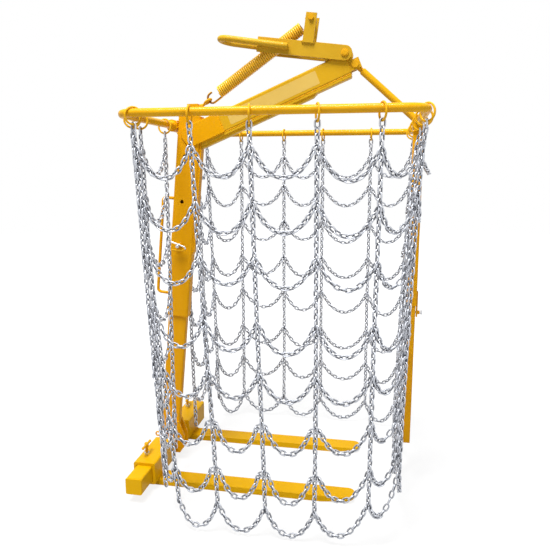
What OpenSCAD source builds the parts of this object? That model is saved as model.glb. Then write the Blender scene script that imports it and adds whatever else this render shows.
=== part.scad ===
// Self-balancing crane fork with a telescopic mast and a hanging chain safety net.
// Millimetres. +X runs out along the tines, +Y to the left, +Z up, and z = 0 is under the tines.

/* [Tines] */
// Length of a tine in front of its sleeve
tine_l = 1000; // [800:10:1200]
// Width of a tine
tine_w = 100; // [80:1:120]
// Thickness of a tine
tine_t = 30; // [25:1:45]
// Distance between the tines' centres, as set on the crossbar
tine_spacing = 527; // [480:1:600]
// Length of the taper under the tip
tip_taper_l = 160; // [80:5:220]
// Thickness left at the very tip
tip_t = 12; // [8:1:16]
// Radius of the tip's corners in plan
tip_corner_r = 35; // [20:1:38]

/* [Crossbar and sleeves] */
// Side of the square crossbar tube
bar_size = 82; // [70:1:90]
// Wall of the crossbar tube
bar_wall = 8; // [5:1:10]
// Length of the crossbar
bar_l = 1000; // [960:10:1200]
// Thickness of the plates that close the crossbar's ends
bar_cap_t = 6; // [4:1:10]
// Length of a sliding sleeve along the crossbar
sleeve_l = 288; // [240:4:300]
// Distance of a sleeve's middle to the left of its tine's
sleeve_shift = 42; // [0:1:60]
// Wall of a sleeve
sleeve_wall = 15; // [8:1:16]
// Gap between the crossbar and a sleeve on each side
sleeve_clear = 0.8; // [0.3:0.1:0.9]
// Diameter of the clamp screws
screw_d = 16; // [12:1:20]
// Length of the clamp screws' cross bar
screw_arm = 86; // [60:1:100]
// Diameter of that cross bar
screw_bar = 12; // [10:1:14]

/* [Mast] */
// Forward lean of the mast
mast_lean = 5.5; // [3:0.5:8]
// Depth of the outer mast tube, front to back
mast_w = 120; // [110:1:130]
// Width of the outer mast tube across the fork
mast_d = 60; // [56:1:70]
// Wall of the outer mast tube
mast_wall = 8; // [6:0.5:10]
// Gap between the inner and the outer mast on each side
mast_clear = 0.8; // [0.4:0.1:0.9]
// Wall of the inner mast tube
inner_wall = 6; // [5:0.5:8]
// Distance from the crossbar's centre up to the outer mast's lower end
outer_start = 746; // [680:2:800]
// Distance from the crossbar's centre up to the outer mast's top
outer_end = 1786; // [1700:2:1850]
// Distance from the crossbar's centre up to the lock pin
pin_height = 1126; // [1080:2:1150]
// Pitch of the height holes, which is also the mast's travel in its slot
hole_pitch = 232; // [200:1:240]
// Number of height holes
hole_count = 3; // [2:1:3]
// Diameter of the height holes
hole_d = 20; // [18:0.5:24]
// Distance of the holes behind the mast's centreline
hole_back = 12; // [5:1:20]
// Thickness of the strip on the mast's front
strip_t = 12; // [8:1:16]
// Diameter of the rear handle's bar
handle_d = 16; // [12:1:20]
// Reach of the rear handle behind the mast
handle_reach = 65; // [50:1:80]
// Length of the rear handle
handle_l = 510; // [450:5:550]
// Thickness of the foot plates that hold the crossbar
foot_t = 12; // [8:1:15]
// Reach of the foot plates in front of the inner mast
foot_reach = 45; // [30:1:60]
// Height of the foot plates above the crossbar
foot_rise = 95; // [70:1:120]
// Height of the cut corner at the foot plates' front
foot_cut = 42; // [20:1:60]

/* [Boom] */
// Slope of the boom
boom_slope = 22.8; // [20:0.2:26]
// Height of the boom's section
boom_h = 100; // [90:1:120]
// Width of the boom's section
boom_w = 60; // [56:1:62]
// Wall of the boom
boom_wall = 5; // [4:0.5:6]
// Distance along the boom from the mast's axis to its front end
boom_l = 868; // [820:2:900]
// Thickness of the full-length strip under the boom
doubler_t = 16; // [10:1:20]
// Thickness of the second, shorter strip
doubler2_t = 12; // [8:1:15]
// Distance along the boom from the mast's axis to the end of the second strip
doubler2_l = 680; // [550:5:750]
// Thickness of the cheek plates that join the boom to the mast
cheek_t = 8; // [6:1:10]

/* [Lever and lifting loop] */
// Rise of the lever above level when it rests on the boom
lever_rise = 7.5; // [6:0.5:9]
// Length of the lever behind its pivot
lever_l = 425; // [400:5:450]
// Height of the lever's plates
lever_h = 70; // [66:1:80]
// Thickness of the lever's plates
lever_t = 10; // [8:1:12]
// Gap between the lever's plates
lever_gap = 68; // [66:1:74]
// Diameter of the pivot pin
pivot_d = 25; // [22:1:28]
// Radial clearance of the pivot pin in the boom
pivot_clear = 0.08; // [0.03:0.01:0.1]
// Diameter of the lifting loop's bar
loop_d = 30; // [26:1:34]
// Distance from the pivot to the loop's outer end
loop_reach = 636; // [600:2:680]
// Length of the loop's legs that is welded along the lever
loop_lap = 150; // [120:5:180]

/* [Spring] */
// Outside diameter of the spring's coil
spring_d = 60; // [50:1:62]
// Diameter of the spring's wire
spring_wire = 8; // [7:0.5:9]
// Distance from a pin at the spring's end to the first coil
spring_lead = 50; // [46:1:60]
// Distance of the spring's bolt above the lever's centreline
spring_bolt_up = 140; // [130:1:160]
// Distance of the spring's bolt behind the pivot, along the lever
spring_bolt_back = 180; // [170:1:200]
// Diameter of the bolt that carries the spring
spring_bolt_d = 16; // [12:1:18]
// Diameter of the eye bolt's bar
eye_rod_d = 14; // [12:1:16]

/* [Net frame] */
// Length of the hoop between its tubes' centrelines
hoop_l = 1224; // [1150:2:1300]
// Width of the hoop between its tubes' centrelines
hoop_w = 1322; // [1250:2:1400]
// Outside diameter of the hoop's tube
hoop_d = 35; // [30:1:42]
// Wall of the hoop's tube
hoop_wall = 3; // [2:0.5:4]
// Bend radius of the hoop's corners
hoop_bend = 75; // [50:1:90]
// Height of the hoop's tubes above the ground
hoop_z = 1825; // [1780:5:1840]
// Diameter of the tie rod
tie_d = 34; // [24:1:36]

/* [Front post] */
// Side of the post's outer tube
post_size = 50; // [46:1:50]
// Wall of the post's outer tube
post_wall = 4; // [3:0.5:5]
// Gap between the post's tubes on each side
post_clear = 0.5; // [0.3:0.1:0.9]
// Height of the outer tube's lower end
post_outer_z = 935; // [880:5:1000]
// Height of the inner tube's lower end
post_foot_z = 204; // [150:2:300]
// Reach of the clamp screw's head in front of the post
post_screw_reach = 30; // [28:1:38]

/* [Chain net] */
// Outside diameter of the rings that hang on the hoop
ring_od = 77; // [72:1:90]
// Diameter of the rings' bar
ring_bar = 8; // [6:0.5:9]
// Diameter of the wire of the long links that hang in the rings
link_wire = 6; // [5:0.5:7]
// Inside length of those links
link_pitch = 32; // [28:1:40]
// Outside width of those links
link_w = 24; // [23:1:28]
// Diameter of the plain bars that stand for the chain
chain_bar = 7.5; // [6:0.5:8]
// Drop from the hoop's tube to the first row of the net
net_drop = 135; // [130:5:160]
// Distance between the rows of the net
net_pitch = 220; // [180:5:222]
// Number of rows
net_rows = 8; // [4:1:8]
// Sag of the chain between two columns
net_sag = 122; // [100:1:124]

/* [Hidden] */
$fn = 48;
eps = 0.01;
seat = 0.3;
hinge_clear = 0.1;
weld_gap = 0.3;
side_y = [-1, 1];

// Crossbar and mast: the mast's axis starts at the crossbar's centre.
sleeve_size = bar_size + 2 * (sleeve_wall + sleeve_clear);
sleeve_front = 4.4;
tine_back = sleeve_size - sleeve_front;
bar_x = sleeve_front - sleeve_size / 2;
bar_z = tine_t + sleeve_size / 2;
inner_w = mast_w - 2 * (mast_wall + mast_clear);
inner_d = mast_d - 2 * (mast_wall + mast_clear);
inner_over = 120;
inner_end = pin_height + inner_over;
pin_d = hole_d - 2;
mast_corner = 10;
function mast_point(s, out = 0) = [bar_x + s * sin(mast_lean) + out * cos(mast_lean),
                                   bar_z + s * cos(mast_lean) - out * sin(mast_lean)];

// Hoop: its rear tube runs in a sleeve on the mast's back face.
hoop_sleeve_d = 60;
hoop_sleeve_l = 70;
hoop_back = bar_x + (hoop_z - bar_z) * tan(mast_lean) - (mast_w / 2 + hoop_sleeve_d / 2 + seat) / cos(mast_lean);
hoop_front = hoop_back + hoop_l;
hoop_mid = hoop_back + hoop_l / 2;

// Boom: its axis crosses the mast's axis at boom_s.
boom_s = outer_end - 101;
boom_root = mast_point(boom_s);
function boom_point(a, b) = boom_root + [a * cos(boom_slope) - b * sin(boom_slope),
                                         a * sin(boom_slope) + b * cos(boom_slope)];

cheek_back = -12;
cheek_front = 184;
cheek_toe = 10;

// Pivot of the lever, over the boom's front end.
pivot_a = boom_l + 3;
pivot_b = boom_h / 2 - 4;
pivot = boom_point(pivot_a, pivot_b);
boss_d = pivot_d + 19;
lever_out = lever_gap / 2 + lever_t;
function lever_point(a, b) = pivot + [a * cos(lever_rise) + b * sin(lever_rise),
                                      -a * sin(lever_rise) + b * cos(lever_rise)];

// Stop bar of the lever, which rests on the boom's top face.
stop_d = 28;
stop_a = -86;
stop_b = (stop_d / 2 + seat - (pivot_b - boom_h / 2) + stop_a * sin(lever_rise + boom_slope))
         / cos(lever_rise + boom_slope);

// Spring, from the bolt over the lever down to the eye bolt on the mast's head.
bolt = lever_point(-spring_bolt_back, spring_bolt_up);
eye_in_d = 22;
eye = mast_point(outer_end) + [104, 88];
spring_v = eye - bolt;
spring_len = norm(spring_v);
spring_tilt = atan2(-spring_v[1], -spring_v[0]);
coil_pitch = spring_wire + 0.03;
spring_turns = floor((spring_len - 2 * spring_lead) / coil_pitch);
coil_l = spring_turns * coil_pitch;
coil_start = (spring_len - coil_l) / 2;
coil_r = (spring_d - spring_wire) / 2;
hook_tip = 12;

// Mast head, a block that the eye bolt goes through along the spring's line.
head_l = 56;
head_w = 44;
head_h = 66;
head_x = mast_point(outer_end)[0] + 14;
head_face = (eye[0] - head_x - head_l / 2) / cos(spring_tilt);
head_boss = 11;

// Nose of the boom, with the tie rod's pin.
nose_t = 12;
nose_gap = boom_w - 2 * boom_wall - 2 * weld_gap - 2 * nose_t;
tie_pin_d = 20;
tie_top = boom_point(boom_l + 29, -17);
tie_v = [hoop_front, hoop_z] - tie_top;
tie_len = norm(tie_v);
tie_tilt = atan2(tie_v[1], tie_v[0]);
collar_d = hoop_d + 17;
collar_l = 53;

// Front post.
post_in = post_size - 2 * (post_wall + post_clear);
ear_t = 8;
ear_y = collar_l / 2 + 0.5;
post_top = hoop_z - collar_d / 2 - 12;
tongue_t = 6;
tongue_l = 58;
post_screw_z = post_outer_z - 37;
post_lap = 390;

// Sleeves, tines and their clamp screws.
sleeve_y = tine_spacing / 2;
screw_nut_h = 14;
screw_x = bar_x - 22;
screw_top = 40;
left_turn = 12;
lug_r = 11;
lug_bar = 8;
lug_x = -inner_w / 2 - lug_r;
loop_tilt = 1.6;

// Chain net: the rings at shares of the hoop's length or width, then rows at an even pitch.
right_rings = [for (s = [0.0597, 0.2517, 0.4494, 0.6667, 0.8653]) hoop_back + s * hoop_l];
left_rings = [for (s = [0.1561, 0.3759, 0.5711, 0.8048]) hoop_back + s * hoop_l];
rear_rings = [for (s = [-0.4236, -0.2988, -0.0983, 0.0983, 0.2648, 0.4236]) s * hoop_w];
front_rings = [for (s = [-0.4508, -0.3026, -0.0983, 0.0983, 0.3026, 0.4508]) s * hoop_w];
post_bay = 0.15 * hoop_w;
net_drift = 48;
side_drift = 12;
post_tilt = asin(min((post_size / 2 + chain_bar) / (net_sag - post_size / 2), 0.5));
ring_r = (ring_od - ring_bar) / 2;
ring_z = hoop_z + hoop_d / 2 + seat - ring_r + ring_bar / 2;
lean_right = 0.18;
lean_x = hoop_back + 0.7 * hoop_l;
link_top_z = ring_z - ring_r + ring_bar / 2 + seat + link_wire;
column_top_z = link_top_z - link_pitch - 2 * link_wire - seat;
net_first_z = hoop_z - net_drop;
net_last_z = net_first_z - (net_rows - 1) * net_pitch;
function net_row_z(k) = net_first_z - k * net_pitch;
net_tail = 14;
function column_t(z) = (column_top_z - z) / (column_top_z - net_last_z);

// Each net column as [x, y, dx, dy, turn], with dx and dy its drift down to the last row.
right_columns = [for (x = right_rings) [x, -hoop_w / 2, lean_right * (lean_x - x), side_drift, 0]];
left_columns = [for (x = left_rings) [x, hoop_w / 2, side_drift / 2, -side_drift, 0]];
rear_columns = [for (y = rear_rings) [hoop_back, y, net_drift, y < 0 ? -16 : 8, 90]];
front_columns = [for (y = front_rings) [hoop_front, y, abs(y) < post_bay ? 0 : -net_drift, 0, 90]];
function node_at(c, z) = [c[0] + c[2] * column_t(z), c[1] + c[3] * column_t(z), z];

// Overall reach to the back and the front, which sets the origin under the middle.
handle_up = 114;
handle_out = mast_w / 2 + handle_reach;
back_x = min(mast_point(outer_start + handle_up, -handle_out)[0] - handle_d / 2 * cos(mast_lean), -tine_back,
             bar_x + lug_x - lug_r - lug_bar / 2);
front_x = hoop_front + max(ring_od / 2, post_size / 2 + post_screw_reach);
mid_x = (back_x + front_x) / 2;

// Puts the part's origin under the middle of the fork.
module placed() { translate([-mid_x, 0, 0]) children(); }

// A plate of thickness t standing in the XZ plane, centred on y.
module upright(t, y = 0) { translate([0, y, 0]) rotate([90, 0, 0]) linear_extrude(t, center = true) children(); }

// The mast's own frame: X to the front, Z up along the mast.
module on_mast() { translate([bar_x, 0, bar_z]) rotate([0, mast_lean, 0]) children(); }

// The boom's own frame: X out along the boom.
module on_boom() { translate([boom_root[0], 0, boom_root[1]]) rotate([0, -boom_slope, 0]) children(); }

// The lever's own frame, at the pivot, with the lever running to -X.
module on_lever() { translate([pivot[0], 0, pivot[1]]) rotate([0, lever_rise, 0]) children(); }

// The spring's own frame: from the eye bolt, X up along the spring.
module on_spring() { translate([eye[0], 0, eye[1]]) rotate([0, -spring_tilt, 0]) children(); }

// A round bar along Y.
module cross_bar(d, l, y = 0) { translate([0, y, 0]) rotate([90, 0, 0]) cylinder(d = d, h = l, center = true); }

// A rectangular tube section with round corners, in plan.
module tube_section(w, d, wall, r) {
  difference() {
    round_rect(w, d, r);
    round_rect(w - 2 * wall, d - 2 * wall, max(r - wall, 1));
  }
}

// A rectangle with round corners, built from exact arcs.
module round_rect(w, d, r) {
  union() {
    square([w - 2 * r, d], center = true);
    square([w, d - 2 * r], center = true);
    for (x = [-1, 1], y = [-1, 1]) translate([x * (w / 2 - r), y * (d / 2 - r)]) circle(r = r);
  }
}

// A straight bar between two points.
module bar_between(p, q, d) {
  v = q - p;
  l = norm(v);
  translate(p) rotate([0, acos(v[2] / l), atan2(v[1], v[0])]) cylinder(d = d, h = l);
}

// A tine: a flat blade whose underside rises and whose corners round off towards the tip, let down under its sleeve.
module tine() {
  color("gold") difference() {
    intersection() {
      translate([-tine_back, -tine_w / 2, 0]) linear_extrude(tine_t) union() {
        square([tine_back + tine_l - tip_corner_r, tine_w]);
        translate([tine_back + tine_l - 2 * tip_corner_r, tip_corner_r])
          square([2 * tip_corner_r, tine_w - 2 * tip_corner_r]);
        for (y = [tip_corner_r, tine_w - tip_corner_r])
          translate([tine_back + tine_l - tip_corner_r, y]) circle(r = tip_corner_r);
      }
      upright(tine_w + 2) polygon([[-tine_back - 1, 0], [tine_l - tip_taper_l, 0], [tine_l + 1, tine_t - tip_t],
                                   [tine_l + 1, tine_t + 1], [-tine_back - 1, tine_t + 1]]);
    }
    translate([sleeve_front - 2 * tine_back, -tine_w, tine_t - seat]) cube([2 * tine_back, 2 * tine_w, tine_t]);
  }
}

// A sleeve that slides on the crossbar, with a hole for its clamp screw and a fillet bar onto the tine.
module sleeve(side) {
  inner = bar_size + 2 * sleeve_clear;
  color("gold") difference() {
    translate([bar_x, 0, bar_z]) upright(sleeve_l, sleeve_shift) tube_section(sleeve_size, sleeve_size, sleeve_wall, 9);
    translate([screw_x, screw_y(side), bar_z + inner / 2 - 1])
      cylinder(d = screw_d + 0.2, h = sleeve_wall + 2);
  }
}
function screw_y(side) = sleeve_shift + side * (sleeve_l / 2 - 88);

// The threaded nut that is welded on a sleeve.
module clamp_nut(side) {
  color("silver") translate([screw_x, screw_y(side), bar_z + sleeve_size / 2]) difference() {
    cylinder(d = screw_d * 1.8, h = screw_nut_h, $fn = 6);
    translate([0, 0, -1]) cylinder(d = screw_d + 0.2, h = screw_nut_h + 2);
  }
}

// A clamp screw with a cross bar through its head, its foot on the crossbar.
module clamp_screw(side, turn) {
  foot = bar_z + bar_size / 2 + seat;
  top = bar_z + sleeve_size / 2 + screw_nut_h + screw_top;
  head_h = 20;
  color("gold") translate([screw_x, screw_y(side), 0]) {
    translate([0, 0, foot]) cylinder(d = screw_d, h = top - foot);
    translate([0, 0, top - head_h / 2]) cylinder(d = screw_d + 6, h = head_h);
    translate([0, 0, top]) rotate([0, 0, turn]) {
      cross_bar(screw_bar, screw_arm);
      for (s = side_y) translate([0, s * screw_arm / 2, 0]) sphere(d = screw_bar + 3);
    }
  }
}

// The square tube that carries the sleeves.
module crossbar() {
  color("gold") translate([bar_x, 0, bar_z]) upright(bar_l - 2 * bar_cap_t)
    tube_section(bar_size, bar_size, bar_wall, 8);
}

// Plates that close both ends of the crossbar.
module crossbar_caps() {
  color("gold") for (s = side_y) translate([bar_x, 0, bar_z])
    upright(bar_cap_t, s * (bar_l - bar_cap_t) / 2) round_rect(bar_size, bar_size, 8);
}

// The two plates that grip the inner mast's foot and let the crossbar through, each with a small eye behind.
module foot_plates() {
  back = -inner_w / 2;
  front = inner_w / 2 + foot_reach;
  low = -bar_size / 2 - 6;
  high = bar_size / 2 + foot_rise;
  y = (inner_d + foot_t) / 2;
  color("gold") translate([bar_x, 0, bar_z]) {
    for (s = side_y) difference() {
      upright(foot_t, s * y) polygon([
        [back, low], [front - 28, low], [front, low + foot_cut], [front, bar_size / 2 + 14],
        [inner_w / 2 + high * tan(mast_lean), high], [-inner_w / 2 + high * tan(mast_lean), high],
        [back, bar_size / 2 + 10]]);
      cube([bar_size + 2 * weld_gap, bar_l, bar_size + 2 * weld_gap], center = true);
    }
    for (s = side_y) translate([lug_x, s * y, bar_size / 2 + 12]) rotate([90, 0, 0]) rotate_extrude()
      translate([lug_r, 0]) circle(d = lug_bar);
  }
}

// The inner mast, standing on the crossbar, with the slot that its lock pin runs in.
module inner_mast() {
  color("gold") difference() {
    on_mast() linear_extrude(inner_end) tube_section(inner_w, inner_d, inner_wall, mast_corner - mast_wall + inner_wall);
    translate([bar_x, 0, bar_z - bar_size / 2]) cube([3 * mast_w, bar_l, 2 * bar_size + 2 * weld_gap], center = true);
    on_mast() translate([-hole_back, 0, 0]) {
      for (s = [pin_height, pin_height - hole_pitch]) translate([0, 0, s]) cross_bar(hole_d, mast_d);
      translate([-hole_d / 2, -mast_d / 2, pin_height - hole_pitch]) cube([hole_d, mast_d, hole_pitch]);
    }
  }
}

// The outer mast tube with its row of height holes.
module outer_mast() {
  color("gold") on_mast() difference() {
    translate([0, 0, outer_start]) linear_extrude(outer_end - outer_start)
      tube_section(mast_w, mast_d, mast_wall, mast_corner);
    for (i = [0:hole_count - 1]) translate([-hole_back, 0, pin_height + i * hole_pitch]) cross_bar(hole_d, 2 * mast_d);
  }
}

// The strip that stiffens the mast's front below the boom, its lower end cut at a slant.
module mast_strip() {
  low = 1083;
  rise = tan(boom_slope + mast_lean);
  high = boom_s + mast_w / 2 * rise - (boom_h / 2 + weld_gap) / cos(boom_slope + mast_lean);
  color("gold") on_mast() upright(mast_d - 16) polygon([
    [mast_w / 2, low], [mast_w / 2 + strip_t, low + 28], [mast_w / 2 + strip_t, high + strip_t * rise],
    [mast_w / 2, high]]);
}

// The block on the mast's cap, with a boss for the eye bolt along the spring's line.
module mast_head() {
  top = mast_point(outer_end)[1];
  color("gold") difference() {
    union() {
      on_mast() translate([0, 0, outer_end]) linear_extrude(8) round_rect(mast_w, mast_d, mast_corner);
      translate([head_x - head_l / 2, -head_w / 2, top + 6]) cube([head_l, head_w, head_h - 6]);
      on_spring() translate([-head_face - 20, 0, 0]) rotate([0, 90, 0]) cylinder(d = eye_rod_d * 1.9, h = 20 + head_boss);
    }
    on_spring() translate([-head_face - 31, 0, 0]) rotate([0, 90, 0]) cylinder(d = eye_rod_d + 0.4, h = head_l * 2);
  }
}

// The grab handle behind the mast.
module rear_handle() {
  low = outer_start + handle_up;
  color("gold") on_mast() {
    translate([-handle_out, 0, low]) cylinder(d = handle_d, h = handle_l);
    for (s = [low, low + handle_l]) {
      translate([-handle_out, 0, s]) sphere(d = handle_d + 0.4);
      translate([-handle_out, 0, s]) rotate([0, 90, 0]) cylinder(d = handle_d, h = handle_reach - seat);
    }
  }
}

// The lock pin through both masts, with a washer and a pull of bent wire on its near end.
module lock_pin() {
  reach = mast_d / 2 + 12;
  wire = 9;
  bend_r = 11;
  bend = [32, -12];
  top_wire = [75, 14];
  low_wire = [63, 4];
  color("gold") on_mast() translate([-hole_back, 0, pin_height]) {
    cross_bar(pin_d, 2 * reach + 20, -10);
    cross_bar(pin_d + 14, 5, -mast_d / 2 - seat - 2.5);
    translate([bend[0], -reach - 14, bend[1]]) rotate([90, 0, 0]) {
      rotate([0, 0, low_wire[1] - 90]) {
        translate([bend_r, 1, 0]) rotate([90, 0, 0]) cylinder(d = wire, h = low_wire[0]);
        rotate_extrude(angle = 180 - top_wire[1] - low_wire[1]) translate([bend_r, 0]) circle(d = wire + 0.2);
      }
      rotate([0, 0, 90 - top_wire[1]]) translate([bend_r, -1, 0]) rotate([-90, 0, 0]) cylinder(d = wire, h = top_wire[0]);
    }
  }
}

// The boom's tube, cut to the mast at its root and notched for the pivot's boss.
module boom() {
  color("gold") difference() {
    on_boom() rotate([0, 90, 0]) linear_extrude(boom_l) tube_section(boom_h, boom_w, boom_wall, 9);
    on_mast() translate([0, 0, boom_s]) cube([mast_w + 2 * weld_gap, 2 * mast_d, 8 * boom_h], center = true);
    on_boom() translate([-mast_w, 0, 0]) cube([2 * mast_w, 2 * boom_w, 4 * boom_h], center = true);
    on_boom() translate([pivot_a, 0, pivot_b]) cross_bar(boss_d + 2 * weld_gap, 2 * boom_w);
  }
}

// The two strips under the boom, one its full length and one shorter.
module boom_doublers() {
  low = -boom_h / 2;
  color("gold") difference() {
    on_boom() {
      upright(boom_w - 4) polygon([[0, low], [boom_l - 4, low], [boom_l - 4, low - doubler_t + 6],
                                   [boom_l - 10, low - doubler_t], [0, low - doubler_t]]);
      upright(boom_w - 16) polygon([[0, low - doubler_t], [doubler2_l, low - doubler_t],
                                    [doubler2_l - 24, low - doubler_t - doubler2_t], [0, low - doubler_t - doubler2_t]]);
    }
    on_mast() translate([strip_t / 2, 0, boom_s])
      cube([mast_w + strip_t + 2 * weld_gap, 2 * mast_d, 8 * boom_h], center = true);
  }
}

// The cheek plates that carry the boom's sides back over the mast.
module boom_cheeks() {
  color("gold") for (s = side_y) upright(cheek_t, s * (mast_d + cheek_t) / 2) polygon([
    boom_point(cheek_back, boom_h / 2), boom_point(cheek_back - 18, boom_h / 2 - 34),
    mast_point(boom_s - 49, cheek_toe), boom_point(cheek_toe, -boom_h / 2), boom_point(cheek_front, -boom_h / 2),
    boom_point(cheek_front, boom_h / 2)]);
}

// The nose: two plates in the boom's end, joined by the pivot's boss, and ears for the tie rod's pin.
module boom_nose() {
  y = (nose_gap + nose_t) / 2;
  low = -boom_h / 2 + boom_wall + 4;
  color("gold") on_boom() difference() {
    union() {
      for (s = side_y) upright(nose_t, s * y) polygon([
        [boom_l - 60, low], [boom_l + 54, low], [boom_l + 54, 7], [boom_l + 26, 7],
        [pivot_a + boss_d / 2, pivot_b], [pivot_a, pivot_b],
        [boom_l - 60, boom_h / 2 - boom_wall - weld_gap - 30]]);
      translate([pivot_a, 0, pivot_b]) cross_bar(boss_d, boom_w);
    }
    translate([pivot_a, 0, pivot_b]) cross_bar(pivot_d + 2 * pivot_clear, 2 * boom_w);
    translate([boom_l + 29, 0, -17]) cross_bar(tie_pin_d + 0.2, 2 * boom_w);
  }
}

// The pivot pin, with a head on one side and a washer on the other.
module pivot_pin() {
  out = lever_out + seat;
  color("gold") on_lever() {
    cross_bar(pivot_d, 2 * out + 16);
    for (s = side_y) cross_bar(pivot_d + 11, 5, s * (out + 2.5));
    for (s = side_y) difference() {
      cross_bar(boss_d, lever_gap / 2 - boom_w / 2 - 2 * seat, s * (lever_gap + boom_w) / 4);
      cross_bar(pivot_d - eps, lever_gap);
    }
  }
}

// One side plate of the lever, round at the pivot.
module lever_plate(side) {
  color("gold") on_lever() difference() {
    upright(lever_t, side * (lever_gap + lever_t) / 2) union() {
      translate([-lever_l, -lever_h / 2]) square([lever_l, lever_h]);
      circle(r = lever_h / 2);
    }
    cross_bar(pivot_d + 0.1, 2 * lever_out + 2);
  }
}

// The bars between the lever's plates: the stop over the boom and the spacer at the loop's end.
module lever_stop() {
  color("gold") on_lever() {
    translate([stop_a, 0, stop_b]) cross_bar(stop_d, lever_gap);
    translate([-lever_l + 18, 0, 16]) cross_bar(18, lever_gap);
  }
}

// The lifting loop: a round bar bent to a U, its legs welded along the lever's outer faces.
module lifting_loop() {
  y = lever_out + loop_d / 2;
  bend_x = -loop_reach + loop_d / 2 + y;
  leg = lever_l - loop_lap + bend_x;
  color("gold") on_lever() translate([-lever_l + loop_lap, 0, 0]) rotate([0, loop_tilt, 0]) translate([lever_l - loop_lap, 0, 0]) {
    for (s = side_y) translate([bend_x, s * y, 0]) rotate([0, 90, 0]) cylinder(d = loop_d, h = -leg);
    for (s = side_y) translate([bend_x - leg, s * y, 0]) sphere(d = loop_d);
    translate([bend_x, 0, 0]) rotate([0, 0, 90]) rotate_extrude(angle = 180) translate([y, 0]) circle(d = loop_d);
  }
}

// The two upright plates on the lever that hold the spring's bolt.
module spring_bracket() {
  w = 52;
  t = 8;
  low = 27;
  color("gold") on_lever() difference() {
    for (s = side_y) upright(t, s * (lever_out + t / 2 + seat))
      translate([-spring_bolt_back - w / 2, low]) square([w, spring_bolt_up + 22 - low]);
    translate([-spring_bolt_back, 0, spring_bolt_up]) cross_bar(spring_bolt_d + 0.4, 3 * lever_out);
  }
}

// The bolt across the bracket, with a hex head and a nut.
module spring_bolt() {
  out = lever_out + 8 + 2 * seat;
  color("gold") on_lever() translate([-spring_bolt_back, 0, spring_bolt_up]) {
    cross_bar(spring_bolt_d, 2 * out + 20);
    for (s = side_y) translate([0, s * (out + 5), 0]) rotate([90, 0, 0])
      cylinder(d = spring_bolt_d * 1.7, h = 10, center = true, $fn = 6);
  }
}

// The close-wound coil of the balancing spring, turned as one ribbed tube.
module balance_spring() {
  color("goldenrod") on_spring() translate([coil_start, 0, 0]) rotate([0, 90, 0]) rotate_extrude()
    for (i = [0:spring_turns - 1]) translate([coil_r, (i + 0.5) * coil_pitch]) circle(d = spring_wire + 0.06);
}

// An end loop of the spring, from the coil's underside round what it hangs on and back to an open tip.
module spring_hook(hold_d) {
  far = (hold_d + spring_wire) / 2 + seat;
  mid = coil_r - far;
  color("goldenrod") rotate([90, 0, 0]) {
    translate([mid, 0, 0]) rotate([0, 0, 90]) rotate_extrude(angle = 180) translate([coil_r, 0]) circle(d = spring_wire);
    translate([mid, -coil_r, 0]) rotate([0, 90, 0]) cylinder(d = spring_wire, h = coil_start - mid - seat);
    translate([mid, coil_r, 0]) rotate([0, 90, 0]) cylinder(d = spring_wire, h = hook_tip);
  }
}

// The loop at the spring's lower end, through the eye bolt.
module spring_lower_hook() { on_spring() spring_hook(eye_rod_d); }

// The loop at the spring's upper end, round the bracket's bolt.
module spring_upper_hook() { on_spring() translate([spring_len, 0, 0]) rotate([0, 180, 0]) spring_hook(spring_bolt_d); }

// The eye bolt that tensions the spring, screwed into the mast's head and locked by its nut.
module eye_bolt() {
  r = (eye_in_d + eye_rod_d) / 2;
  far = head_face + 30;
  color("gold") on_spring() {
    translate([-r, 0, 0]) rotate_extrude() translate([r, 0]) circle(d = eye_rod_d);
    translate([-far, 0, 0]) rotate([0, 90, 0]) cylinder(d = eye_rod_d, h = far - 2 * r);
    translate([-head_face + head_boss + seat, 0, 0]) rotate([0, 90, 0]) cylinder(d = eye_rod_d * 1.8, h = 12, $fn = 6);
  }
}

// The rectangular tube hoop that carries the net.
module hoop() {
  color("gold") translate([hoop_mid, 0, hoop_z]) difference() {
    hoop_bar(hoop_d);
    hoop_bar(hoop_d - 2 * hoop_wall);
  }
}

// The hoop's path with a round section: four straights and four bends.
module hoop_bar(d) {
  a = hoop_l / 2;
  b = hoop_w / 2;
  for (s = side_y) {
    translate([0, s * b, 0]) rotate([0, 90, 0]) cylinder(d = d, h = hoop_l - 2 * hoop_bend, center = true);
    translate([s * a, 0, 0]) cross_bar(d, hoop_w - 2 * hoop_bend);
  }
  for (i = [0:3]) rotate([0, 0, 90 * i]) translate([(i % 2 == 0 ? a : b) - hoop_bend, (i % 2 == 0 ? b : a) - hoop_bend, 0])
    rotate_extrude(angle = 90) translate([hoop_bend, 0]) circle(d = d);
}

// The sleeve on the mast's back that the hoop's rear tube runs through.
module hoop_sleeve() {
  color("gold") translate([hoop_back, 0, hoop_z]) difference() {
    cross_bar(hoop_sleeve_d, hoop_sleeve_l);
    cross_bar(hoop_d + 2 * seat, hoop_sleeve_l + 2);
  }
}

// The tie rod from the boom's nose to the middle of the hoop's front tube.
module tie_rod() {
  eye_t = nose_gap - 1;
  color("gold") difference() {
    translate([tie_top[0], 0, tie_top[1]]) rotate([0, -tie_tilt, 0]) {
      cross_bar(46, eye_t);
      translate([14, 0, 0]) rotate([0, 90, 0]) cylinder(d = min(tie_d, eye_t), h = 40);
      translate([46, 0, 0]) rotate([0, 90, 0]) cylinder(d = tie_d, h = tie_len - 46 - hoop_d / 2 - 3);
      translate([tie_len, 0, 0]) cross_bar(collar_d, collar_l);
    }
    translate([tie_top[0], 0, tie_top[1]]) cross_bar(tie_pin_d + 0.2, mast_w);
    translate([hoop_front, 0, hoop_z]) cross_bar(hoop_d + 2 * seat, collar_l + 2);
  }
}

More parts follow.
